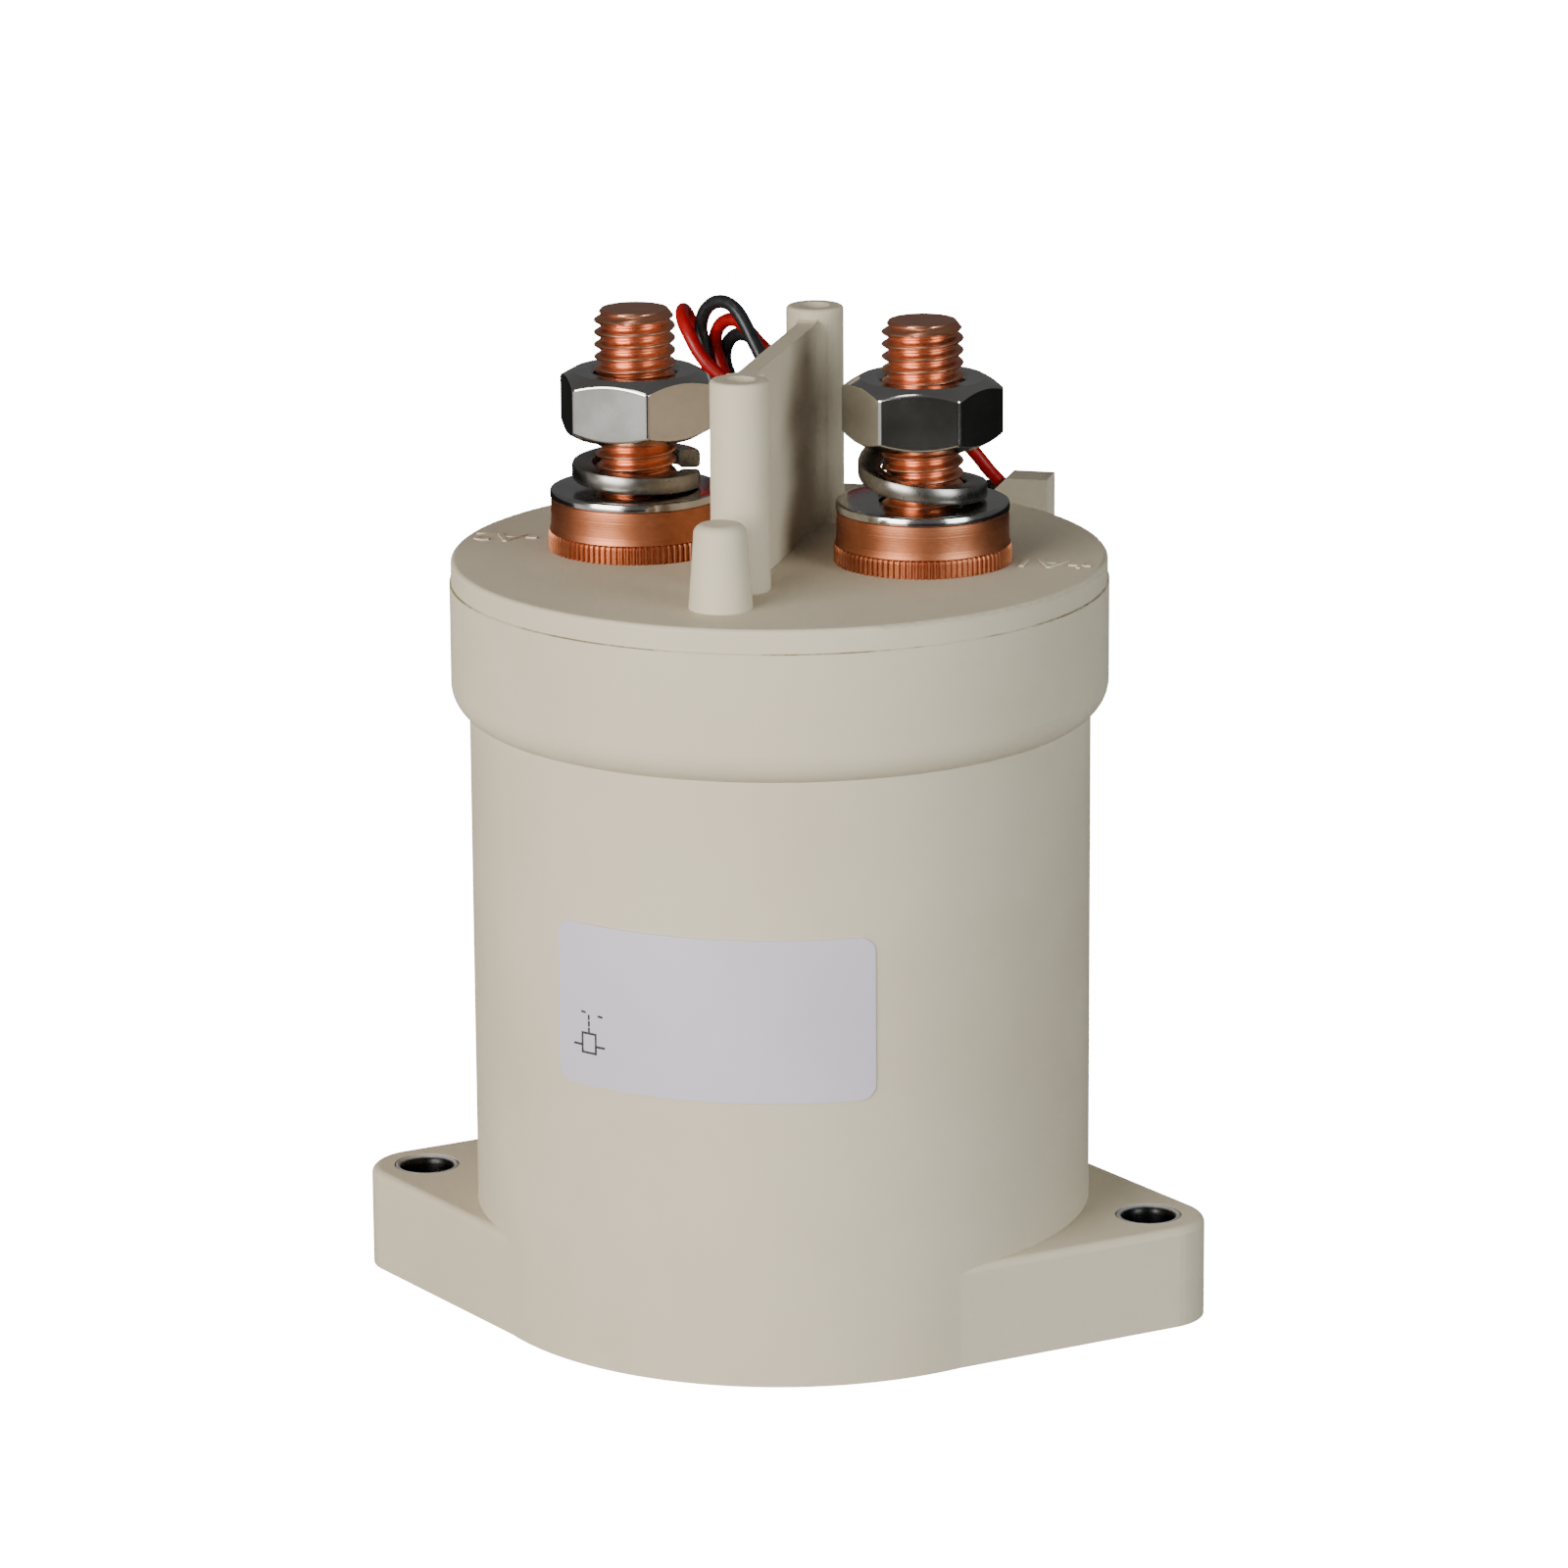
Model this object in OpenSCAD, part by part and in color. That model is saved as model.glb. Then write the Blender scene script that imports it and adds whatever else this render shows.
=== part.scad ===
// High voltage DC contactor: sealed two-terminal power relay in a round moulded housing.
// Millimetres, +Z up, origin at the centre of the base, +X along the mounting holes.

/* [Housing] */
// Outside diameter of the body
body_d = 75.6; // [74:0.2:80]
// Outside diameter of the thick upper ring
ring_d = 80; // [78:0.2:86]
// Height of the housing up to the lid seam
body_h = 90.5; // [88:0.5:100]
// Height of the upper ring, down to its crease
ring_h = 15.8; // [10:0.2:24]
// Radius of the ring's rounded lower edge
ring_round = 4; // [2.5:0.1:6]
// Wall thickness of the housing
wall_t = 2.5; // [1.8:0.1:3]
// Thickness of the housing floor
floor_t = 4; // [3:0.1:5]

/* [Mounting flange] */
// Thickness of the mounting flange
flange_h = 12.6; // [8:0.2:20]
// Distance between the two mounting holes
hole_spacing = 92; // [90:0.5:110]
// Radius of the ears round the mounting holes
ear_r = 6.9; // [6.5:0.1:10]
// Rounding of the ears' top edge
ear_round = 1; // [0.4:0.1:2]
// Outside diameter of the steel bushes
bush_d = 8; // [7.2:0.1:9]
// Bore of the steel bushes
bush_bore_d = 6.2; // [5.2:0.1:6.6]

/* [Lid] */
// How far the lid's edge lies inside the ring's
lid_inset = 0.2; // [0:0.1:1]
// Thickness of the lid plate
lid_t = 3; // [2:0.1:5]
// Rounding of the lid's top edge
lid_round = 0.6; // [0.3:0.1:1.2]
// Depth of the spigot that centres the lid in the housing
spigot_h = 4; // [2:0.1:6]
// Thickness of the spigot
spigot_t = 2; // [1.2:0.1:3]

/* [Barrier] */
// Thickness of the barrier wall
barrier_t = 2.3; // [1.6:0.1:4]
// Height of the barrier wall and the front post above the lid
barrier_h = 25.3; // [16:0.1:32]
// Distance between the two screw posts
post_spacing = 38.4; // [32:0.2:44]
// Diameter of the screw posts
post_d = 7.1; // [6:0.1:9]
// How much the rear post stands above the barrier wall
rear_post_rise = 1.5; // [0.5:0.1:3]
// Rounding of the posts' top edge
post_round = 0.5; // [0.2:0.1:0.8]
// Radius of the fillets between the wall and the posts
barrier_fillet = 2; // [1:0.1:3]
// Diameter of the screw holes in the posts
post_hole_d = 3.8; // [2.5:0.1:4.2]
// Depth of the screw holes in the posts
post_hole_h = 12; // [6:0.5:15]

/* [Locating pin] */
// Distance of the tapered pin from the axis of the lid
pin_offset = 29.1; // [27:0.1:33]
// Diameter of the pin at its foot
pin_base_d = 7.6; // [6.5:0.1:9]
// Diameter of the pin near its top
pin_top_d = 6.3; // [5:0.1:6.5]
// Height of the pin above the lid
pin_h = 10.1; // [6:0.1:14]
// Rounding of the pin's top edge
pin_round = 1.2; // [0.6:0.1:2]

/* [Lead outlet] */
// Distance of the outlet block's left end from the middle of the lid
outlet_x = 19.4; // [18:0.1:20]
// How far the outlet block's front face lies inside the lid's edge
outlet_inset = 2.3; // [2:0.1:4]
// Length of the outlet block
outlet_l = 7; // [6:0.1:9]
// Depth of the outlet block from front to back
outlet_w = 5; // [5:0.1:6]
// Height of the outlet block above the lid
outlet_h = 3.1; // [3:0.1:5]
// Chamfer at the outlet block's upper left edge
outlet_chamfer = 1.8; // [1.6:0.1:2]

/* [Terminals] */
// Distance between the two terminals
terminal_spacing = 35.6; // [34:0.2:38]
// Diameter of the knurled collar
knurl_d = 21.5; // [20.4:0.1:23]
// Height of the knurled collar
knurl_h = 2.3; // [1.5:0.1:4]
// Depth of the knurl
knurl_depth = 0.35; // [0.2:0.05:0.6]
// Number of teeth of the knurl
knurl_teeth = 90; // [60:1:100]
// Diameter of the contact pad
pad_d = 20.9; // [18:0.1:22]
// Height of the contact pad above the collar
pad_h = 4.1; // [2:0.1:6]
// Diameter of the threaded stud
stud_d = 9.9; // [9.6:0.05:10]
// Height of the stud's end above the lid
stud_h = 29.4; // [27:0.1:40]
// Chamfer at the stud's end
stud_chamfer = 0.9; // [0.4:0.1:1.2]
// Diameter of the terminal where it passes through the lid
neck_d = 19; // [17.5:0.1:20]
// Diameter of the terminal inside the arc chamber
column_d = 16; // [12:0.1:17]

/* [Washers and nuts] */
// Outside diameter of the flat washers
washer_d = 21; // [18:0.1:22]
// Bore of the flat washers and of the spring washers
washer_bore_d = 10.5; // [10.2:0.05:11]
// Thickness of the flat washers
washer_t = 1; // [0.8:0.1:2]
// Thickness of the spring washers' square wire
split_t = 2.5; // [2:0.1:3]
// How far one end of a relaxed spring washer stands above the other
split_rise = 2.8; // [2.6:0.1:3.2]
// Width across the flats of the nuts
nut_af = 17; // [16:0.5:19]
// Height of the nuts
nut_h = 8; // [6:0.1:8.4]
// Height of the left nut above its spring washer
left_nut_lift = 1.2; // [0.3:0.1:3]
// Height of the right nut above its spring washer
right_nut_lift = 1.8; // [0.3:0.1:3]

/* [Label] */
// Width of the label along the body's surface
label_w = 40.6; // [20:0.2:60]
// Height of the label
label_h = 20; // [10:0.2:40]
// Height of the label's middle above the base
label_z = 45.5; // [36:0.5:50]
// Corner radius of the label
label_corner = 1.8; // [0.5:0.1:4]
// Thickness of the label
label_t = 0.15; // [0.1:0.05:0.4]

/* [Magnet coil] */
// Wall of the steel yoke cup
yoke_t = 3; // [2:0.1:4]
// Thickness of the yoke cup's floor
yoke_floor_t = 4; // [3:0.1:5]
// Thickness of the steel pole plate
plate_t = 4; // [3:0.1:5]
// Height of the coil bobbin
bobbin_h = 40; // [38:0.5:43]
// Thickness of the bobbin's flanges and tube
bobbin_t = 1.6; // [1:0.1:2.5]
// Inside diameter of the thin sleeve round the cores
sleeve_d = 21.6; // [20:0.1:24]
// Wall of the thin sleeve
sleeve_t = 0.6; // [0.4:0.1:1]

/* [Armature] */
// Stroke of the armature
travel = 3; // [2:0.1:3.5]
// Part of the stroke that presses the contact spring
overtravel = 0.8; // [0.4:0.1:1.2]
// Length of the fixed core below the pole plate
fixed_core_l = 12; // [9:0.5:14]
// Diameter of the shaft
shaft_d = 5; // [4:0.1:6]
// Mean diameter of the return spring
return_spring_d = 10.6; // [9:0.1:12]
// Wire of the return spring
return_wire = 1.2; // [0.8:0.1:1.5]
// Depth of the return spring's seats in the two cores
spring_seat_h = 7; // [4:0.5:8]

/* [Contacts] */
// Length of the contact bridge
bridge_l = 50; // [46:0.5:52]
// Width of the contact bridge
bridge_w = 14; // [10:0.5:16]
// Thickness of the contact bridge
bridge_t = 4; // [3:0.1:5]
// Diameter of the contact tips
tip_d = 9; // [6:0.5:10]
// Height of the contact tips
tip_h = 1; // [0.6:0.1:1.6]
// Length of the contact spring
contact_spring_l = 7.4; // [6.5:0.1:9]
// Mean diameter of the contact spring
contact_spring_d = 8.6; // [8:0.1:10]
// Wire of the contact spring
contact_wire = 1; // [0.8:0.1:1.2]

/* [Arc chamber] */
// Wall of the arc chamber
chamber_t = 3; // [2:0.1:4]
// Thickness of the arc chamber's top
chamber_top_t = 4; // [3:0.1:5]
// Thickness of the plate under the arc chamber
chamber_base_t = 1; // [0.8:0.1:1.6]
// Space between the bridge and the arc chamber's walls
chamber_gap = 3; // [2:0.1:4]
// Length of the blow-out magnets
magnet_l = 36; // [24:1:40]
// Thickness of the blow-out magnets
magnet_t = 5; // [3:0.1:6]
// Height of the blow-out magnets
magnet_h = 20; // [14:0.5:22]

/* [Clearances] */
// Gap round pieces that are set into each other
set_gap = 0.1; // [0.05:0.01:0.15]
// Gap round pieces that slide in each other
slide_gap = 0.08; // [0.05:0.01:0.1]
// Gap left at the armature's stops
stop_gap = 0.1; // [0.05:0.01:0.2]
// Gap between the yoke cup and the housing, filled with potting
potting_gap = 0.8; // [0.3:0.1:1]

/* [Leads] */
// Diameter of the leads
lead_d = 1.7; // [1.2:0.1:2]

/* [Hidden] */
$fn = 96;
eps = 0.01;

// Housing and lid levels
body_r = body_d / 2;
ring_r = ring_d / 2;
bore_r = body_r - wall_t;
lid_d = ring_d - 2 * lid_inset;
lid_top = body_h + lid_t;
ear_x = hole_spacing / 2;
flange_tuck = 0.15;
hull_sides = 48;
fillet_steps = 8;
ramp_margin = 1;
fillet_run = 8;
label_gap = 0.02;

// Terminal stack levels
terminal_x = terminal_spacing / 2;
pad_top = lid_top + knurl_h + pad_h;
washer_top = pad_top + washer_t;
split_sides = 8;
split_steps = 48;
split_bevel = 0.4;
split_cut = 4;
left_split_angle = 14;
right_split_angle = 59;
left_nut_angle = -6.3;
right_nut_angle = 9.7;
split_top = washer_top + split_t + split_rise;
nut_bore_d = stud_d + 2 * slide_gap;
nut_sink = 0.5;
nut_sink_d = nut_bore_d + 2 * nut_sink;
nut_face_margin = 0.95;
nut_corner_d = nut_af / cos(30);

// Magnet coil levels
cup_floor = floor_t + yoke_floor_t;
plate_z = cup_floor + bobbin_h;
plate_top = plate_z + plate_t;
yoke_r = bore_r - potting_gap;
yoke_in_r = yoke_r - yoke_t;
bobbin_flange_r = yoke_in_r - potting_gap;
sleeve_out_r = sleeve_d / 2 + sleeve_t;
bobbin_in_r = sleeve_out_r + set_gap;
winding_in_r = bobbin_in_r + bobbin_t + set_gap;
winding_margin = 1;
winding_out_r = bobbin_flange_r - winding_margin;
core_r = sleeve_d / 2 - slide_gap;
fixed_core_r = sleeve_d / 2 - set_gap;
fixed_core_z = plate_z - fixed_core_l;
fixed_neck_r = 8;
core_z = cup_floor + sleeve_t + stop_gap;
core_top = fixed_core_z - travel - stop_gap;
spring_seat_r = return_spring_d / 2 + return_wire;
return_spring_z = core_top - spring_seat_h;
return_spring_top = fixed_core_z + spring_seat_h;
shaft_foot_h = 10;

// Contact levels
chamber_floor = plate_top + chamber_base_t;
collar_lift = 0.6;
collar_z = chamber_floor + collar_lift;
collar_t = 1.5;
collar_r = contact_spring_d / 2 + contact_wire;
contact_spring_z = collar_z + collar_t;
bridge_z = contact_spring_z + contact_spring_l;
bridge_top = bridge_z + bridge_t;
clip_t = 0.8;
clip_gap = 0.05;
clip_z = bridge_top + clip_gap;
clip_groove = 0.5;
clip_w = 1.6;
clip_pinch = 0.4;
clip_out_r = shaft_d / 2 + clip_w;
shaft_end = 1.2;
shaft_top = clip_z + clip_t + shaft_end;
shaft_room = 0.5;
column_z = bridge_top + tip_h + travel - overtravel + stop_gap;

// Arc chamber
chamber_top = body_h - spigot_h;
chamber_l = bridge_l + 2 * (chamber_gap + chamber_t);
chamber_w = bridge_w + 2 * (chamber_gap + chamber_t);
chamber_corner = 5;
ledge_t = 2;
magnet_z = chamber_floor + 5;

// Outlet block and leads
outlet_y = sqrt(pow(lid_d / 2, 2) - pow(outlet_x, 2)) - outlet_inset;
lead_room = 0.15;
outlet_rib = 0.4;
outlet_bore_d = lead_d + 2 * lead_room;
outlet_bore_h = 1.4;
outlet_wall = outlet_bore_d / 2 + outlet_rib;
lead_sides = 8;

// Mouth and direction of each lead's bore in the outlet block
red_mouth = [outlet_x + outlet_chamfer / 2, outlet_y + outlet_wall,
    lid_top + outlet_h - outlet_chamfer / 2];
red_way = [-sqrt(1 / 2), 0, sqrt(1 / 2)];
black_mouth = [outlet_x, outlet_y + outlet_w - outlet_wall, lid_top + outlet_bore_d / 2 + lead_room];
black_way = [-1, 0, 0];

// Hank of leads: its middle above the lid, its size and how it leans
hank_at = [-10.6, 31.2, lid_top + 12.2];
hank_l = 28.9;
hank_w = 10.7;
hank_t = 7.1;
hank_lean = 44;
hank_turn = -30;

// Tie round the hank: its place along the hank and its section
tie_y = -6;
tie_w = 2.4;
tie_t = 0.9;

// Route of the two leads from the outlet block, measured from the top of the lid
red_route = [[16.2, 33.6, 6.8], [13, 33.4, 9.4], [9.3, 32.6, 10.6], [5.2, 31.4, 11.3]];
black_route = [[14.4, 35.5, 1.3], [11.2, 34.7, 2.2], [8.2, 33.9, 3.5], [5.2, 33.4, 5.2]];

// Where they go into the hank, in the hank's own frame
red_join = [[8, -8.4, -5.5], [7.5, -4.6, -4.1], [6.3, -0.6, -2.5], [4.9, 3.6, -1.2]];
black_join = [[7.2, -9.6, -8.5], [6.2, -5.6, -6.8], [4.8, -1.4, -4.9], [3.2, 2.6, -3.2]];

// Unit vector along v
function unit(v) = v / norm(v);

// Direction of a path at point i
function heading(path, i) =
    unit(path[min(i + 1, len(path) - 1)] - path[max(i - 1, 0)]);

// Round tube of radius r along a path, with the reference direction up
module tube(path, r, sides, up) {
    rings = len(path);
    points = [for (i = [0 : rings - 1])
        let (t = heading(path, i), s = unit(cross(t, up)), n = cross(s, t))
        for (k = [0 : sides - 1])
            path[i] + r * (cos(360 * k / sides) * s + sin(360 * k / sides) * n)];
    skin(points, rings, sides);
}

// Closed solid through rings of points
module skin(points, rings, sides) {
    last = (rings - 1) * sides;
    faces = concat(
        [[for (k = [0 : sides - 1]) k]],
        [for (i = [0 : rings - 2]) for (k = [0 : sides - 1])
            let (a = i * sides + k, b = i * sides + (k + 1) % sides)
            for (tri = [[a, a + sides, b + sides], [a, b + sides, b]]) tri],
        [[for (k = [sides - 1 : -1 : 0]) last + k]]);
    polyhedron(points, faces, convexity = 8);
}

// Coil spring of round wire between two levels
module coil_spring(d, wire, z0, z1, turns) {
    steps = 20;
    count = turns * steps;
    rise = z1 - z0 - wire;
    path = [for (i = [0 : count])
        [d / 2 * cos(360 * i / steps), d / 2 * sin(360 * i / steps),
            z0 + wire / 2 + rise * i / count]];
    tube(path, wire / 2, 6, [0, 0, 1]);
}

// Flat ring
module ring(r_out, r_in, h) {
    difference() {
        cylinder(r = r_out, h = h);
        translate([0, 0, -eps])
            cylinder(r = r_in, h = h + 2 * eps);
    }
}

// Box centred in X and Y
module block(l, w, h) {
    translate([-l / 2, -w / 2, 0])
        cube([l, w, h]);
}

// Upright block with round corners
module round_block(l, w, h, r) {
    block(l - 2 * r, w, h);
    block(l, w - 2 * r, h);
    for (x = [-1, 1], y = [-1, 1])
        translate([x * (l / 2 - r), y * (w / 2 - r), 0])
            cylinder(r = r, h = h);
}

// Half section of the cup: plain body, thick ring with a rounded lower edge
module housing_section() {
    arc_x = ring_r - ring_round;
    arc_z = body_h - ring_h + sqrt(pow(ring_round, 2) - pow(body_r - arc_x, 2));
    square([body_r, body_h]);
    translate([0, arc_z])
        square([ring_r, body_h - arc_z]);
    intersection() {
        translate([arc_x, arc_z])
            circle(r = ring_round);
        translate([arc_x, 0])
            square([ring_r, body_h]);
    }
}

// Disc with a rounded top edge
module rounded_disc(r, h, edge) {
    rotate_extrude() {
        square([r - edge, h]);
        square([r, h - edge]);
        translate([r - edge, h - edge])
            circle(r = edge);
    }
}

// Flange: its straight sides run from the ears into the body wall
module flange() {
    hull() {
        for (side = [-1, 1])
            translate([side * ear_x, 0, 0])
                rounded_disc(ear_r, flange_h, ear_round, $fn = hull_sides);
        rounded_disc(body_r - flange_tuck, flange_h, ear_round, $fn = hull_sides);
    }
}

module housing() {
    color("tan")
    difference() {
        union() {
            rotate_extrude()
                housing_section();
            flange();
        }
        translate([0, 0, floor_t])
            cylinder(r = bore_r, h = body_h);
        for (side = [-1, 1])
            translate([side * ear_x, 0, -eps])
                cylinder(d = bush_d + 2 * set_gap, h = flange_h + 2 * eps);
    }
}

module bush(side) {
    color("dimgray")
    translate([side * ear_x, 0, 0])
        ring(bush_d / 2, bush_bore_d / 2, flange_h);
}

module left_bush() { bush(-1); }
module right_bush() { bush(1); }

// Fillet between the barrier wall and a post, from the wall to a little inside the post
function barrier_corner(sx, sy) =
    let (x = barrier_t / 2 + barrier_fillet, reach = post_d / 2 + barrier_fillet)
    let (y = post_spacing / 2 - sqrt(reach * reach - x * x), stop = acos(-x / reach) - fillet_run)
    [for (i = [0 : fillet_steps]) let (a = 180 - i * (180 - stop) / fillet_steps)
        [sx * (x + barrier_fillet * cos(a)), sy * (y + barrier_fillet * sin(a))]];

function backwards(list) = [for (i = [len(list) - 1 : -1 : 0]) list[i]];

// Plan of the barrier wall with its four fillets
module barrier_plan() {
    polygon(concat(barrier_corner(1, 1), backwards(barrier_corner(-1, 1)),
        barrier_corner(-1, -1), backwards(barrier_corner(1, -1))));
}

// Concave ramp from the top of the wall to the top of the rear post
module barrier_ramp() {
    ramp = rear_post_rise + ramp_margin;
    start = post_spacing / 2 - post_d / 2 - ramp / 2;
    climb = acos(1 - rear_post_rise / ramp);
    arc = [for (i = [0 : fillet_steps]) let (a = climb * i / fillet_steps)
        [start + ramp * sin(a), barrier_h + ramp * (1 - cos(a))]];
    foot = barrier_h - ramp_margin;
    rotate([90, 0, 90])
        translate([0, 0, -barrier_t / 2])
            linear_extrude(barrier_t)
                polygon(concat([[start, foot]], arc,
                    [[post_spacing / 2, barrier_h + rear_post_rise], [post_spacing / 2, foot]]));
}

// Barrier wall between the two screw posts
module barrier() {
    linear_extrude(barrier_h)
        barrier_plan();
    barrier_ramp();
    for (side = [-1, 1])
        translate([0, side * post_spacing / 2, 0])
            rounded_disc(post_d / 2, barrier_h + (side > 0 ? rear_post_rise : 0), post_round);
}

module barrier_holes() {
    for (side = [-1, 1]) {
        top = barrier_h + (side > 0 ? rear_post_rise : 0);
        translate([0, side * post_spacing / 2, top - post_hole_h])
            cylinder(d = post_hole_d, h = post_hole_h + eps);
    }
}

// Tapered pin with a rounded top
module locating_pin() {
    top_r = pin_top_d / 2;
    translate([0, -pin_offset, 0]) {
        cylinder(d1 = pin_base_d, d2 = pin_top_d, h = pin_h - pin_round);
        translate([0, 0, pin_h - pin_round])
            rotate_extrude() {
                square([top_r - pin_round, pin_round]);
                intersection() {
                    translate([top_r - pin_round, 0])
                        circle(r = pin_round);
                    square([top_r, pin_round]);
                }
            }
    }
}

// Block astride the rim that lets the two leads out, with a chamfered upper left edge
module outlet_block() {
    top = lid_t + outlet_h;
    cut = outlet_chamfer;
    translate([outlet_x, outlet_y + outlet_w, 0])
        rotate([90, 0, 0])
            linear_extrude(outlet_w)
                polygon([[0, 0], [outlet_l, 0], [outlet_l, top], [cut, top], [0, top - cut]]);
}

// Blind bore of one lead
module outlet_bore(mouth, way) {
    translate(mouth)
        rotate([0, -acos(way[2]), 0])
            translate([0, 0, -outlet_bore_h])
                cylinder(d = outlet_bore_d, h = 2 * outlet_bore_h);
}

module lid() {
    color("tan")
    difference() {
        union() {
            translate([0, 0, body_h]) {
                rounded_disc(lid_d / 2, lid_t, lid_round);
                outlet_block();
            }
            translate([0, 0, body_h - spigot_h])
                ring(bore_r - set_gap, bore_r - set_gap - spigot_t, spigot_h + eps);
            translate([0, 0, lid_top]) {
                barrier();
                locating_pin();
            }
        }
        translate([0, 0, lid_top])
            barrier_holes();
        outlet_bore(red_mouth, red_way);
        outlet_bore(black_mouth, black_way);
        for (side = [-1, 1])
            translate([side * terminal_x, 0, body_h - eps])
                cylinder(d = neck_d + 2 * set_gap, h = lid_t + 2 * eps);
    }
}

// Toothed outline of the knurled collar
module knurl_outline() {
    polygon([for (i = [0 : 2 * knurl_teeth - 1])
        let (r = knurl_d / 2 - (i % 2) * knurl_depth, a = 180 * i / knurl_teeth)
        [r * cos(a), r * sin(a)]]);
}

module terminal(side) {
    stud_top = lid_top + stud_h;
    color("peru")
    translate([side * terminal_x, 0, 0]) {
        translate([0, 0, column_z])
            cylinder(d = column_d, h = chamber_top - column_z);
        translate([0, 0, chamber_top])
            cylinder(d = neck_d, h = lid_top - chamber_top);
        translate([0, 0, lid_top])
            linear_extrude(knurl_h)
                knurl_outline();
        translate([0, 0, lid_top + knurl_h])
            cylinder(d = pad_d, h = pad_h);
        translate([0, 0, pad_top])
            cylinder(d = stud_d, h = stud_top - stud_chamfer - pad_top);
        translate([0, 0, stud_top - stud_chamfer])
            cylinder(d1 = stud_d, d2 = stud_d - 2 * stud_chamfer, h = stud_chamfer);
    }
}

module left_terminal() { terminal(-1); }
module right_terminal() { terminal(1); }

module flat_washer(side) {
    color("silver")
    translate([side * terminal_x, 0, pad_top])
        ring(washer_d / 2, washer_bore_d / 2, washer_t);
}

module left_flat_washer() { flat_washer(-1); }
module right_flat_washer() { flat_washer(1); }

// Split washer of square wire, one turn of a helix that rises clockwise
module spring_washer(side, angle) {
    mid_r = (washer_bore_d + split_t) / 2;
    h = split_t / 2;
    b = split_bevel;
    section = [[-h + b, -h], [h - b, -h], [h, -h + b], [h, h - b],
        [h - b, h], [-h + b, h], [-h, h - b], [-h, -h + b]];
    points = [for (i = [0 : split_steps])
        let (f = i / split_steps, a = angle - split_cut - f * (360 - 2 * split_cut))
        for (p = section)
            [(mid_r + p[0]) * cos(a), (mid_r + p[0]) * sin(a), h + split_rise * f + p[1]]];
    color("gainsboro")
    translate([side * terminal_x, 0, washer_top])
        skin(points, split_steps + 1, split_sides);
}

module left_spring_washer() { spring_washer(-1, left_split_angle); }
module right_spring_washer() { spring_washer(1, right_split_angle); }

// Hexagon nut with chamfered corners and countersunk bore
module nut(side, lift, angle) {
    corner_r = nut_corner_d / 2;
    face_r = nut_af / 2 - nut_face_margin;
    drop = (corner_r - face_r) * tan(30);
    color("lightsteelblue")
    translate([side * terminal_x, 0, split_top + lift])
        rotate([0, 0, angle])
            difference() {
                intersection() {
                    cylinder(d = nut_corner_d, h = nut_h, $fn = 6);
                    rotate_extrude()
                        polygon([[0, 0], [face_r, 0], [corner_r, drop],
                            [corner_r, nut_h - drop], [face_r, nut_h], [0, nut_h]]);
                }
                translate([0, 0, -eps])
                    cylinder(d = nut_bore_d, h = nut_h + 2 * eps);
                translate([0, 0, -eps])
                    cylinder(d1 = nut_sink_d + 2 * eps, d2 = nut_bore_d, h = nut_sink + eps);
                translate([0, 0, nut_h - nut_sink])
                    cylinder(d1 = nut_bore_d, d2 = nut_sink_d + 2 * eps, h = nut_sink + eps);
            }
}

module left_nut() { nut(-1, left_nut_lift, left_nut_angle); }
module right_nut() { nut(1, right_nut_lift, right_nut_angle); }

// Blank sticker that follows the round front of the body
module label() {
    half = label_w / 2 / body_r * 180 / PI;
    inner_r = body_r + label_gap;
    color("whitesmoke")
    intersection() {
        translate([0, 0, label_z - label_h / 2])
            ring(inner_r + label_t, inner_r, label_h);
        translate([0, -body_r * cos(half) + eps, label_z])
            rotate([90, 0, 0])
                round_block(2 * body_r * sin(half), label_h, body_r, label_corner);
    }
}

// Point of the hank, from its own middle: across, along and through it
function hank_point(p) =
    let (c = cos(hank_lean), s = sin(hank_lean), ct = cos(hank_turn), st = sin(hank_turn))
    let (x = p[0] * c - p[1] * s, y = -p[2], z = p[0] * s + p[1] * c)
    hank_at + [x * ct - y * st, x * st + y * ct, z];

// Lead from the bottom of its bore along its route to the hank
module lead(mouth, way, route, join) {
    straight = 2;
    path = concat([mouth - outlet_bore_h * way, mouth + straight * way],
        [for (p = route) p + [0, 0, lid_top]], [for (p = join) hank_point(p)]);
    tube(path, lead_d / 2, lead_sides, [0, 1, 0]);
}

module red_lead() {
    color("red")
    lead(red_mouth, red_way, red_route, red_join);
}

module black_lead() {
    color("black")
    lead(black_mouth, black_way, black_route, black_join);
}

// Places children in the hank's frame: X across it, Y along it, Z through it
module at_hank() {
    translate(hank_at)
        rotate([0, 0, hank_turn])
            rotate([0, -hank_lean, 0])
                rotate([90, 0, 0])
                    children();
}

// Outer shape of the folded leads, leaning beside the rear post
module lead_hank() {
    run = hank_l - hank_w;
    color("firebrick")
    at_hank()
        translate([0, 0, -hank_t / 2]) {
            translate([-hank_w / 2, -run / 2, 0])
                cube([hank_w, run, hank_t]);
            for (end = [-1, 1])
                translate([0, end * run / 2, 0])
                    cylinder(d = hank_w, h = hank_t);
        }
}

// Band that holds the hank together
module lead_tie() {
    l = hank_w + 2 * set_gap;
    w = hank_t + 2 * set_gap;
    color("dimgray")
    at_hank()
        translate([0, tie_y - tie_w / 2, 0])
            rotate([-90, 0, 0])
                difference() {
                    round_block(l + 2 * tie_t, w + 2 * tie_t, tie_w, tie_t);
                    translate([0, 0, -eps])
                        block(l, w, tie_w + 2 * eps);
                }
}

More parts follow.
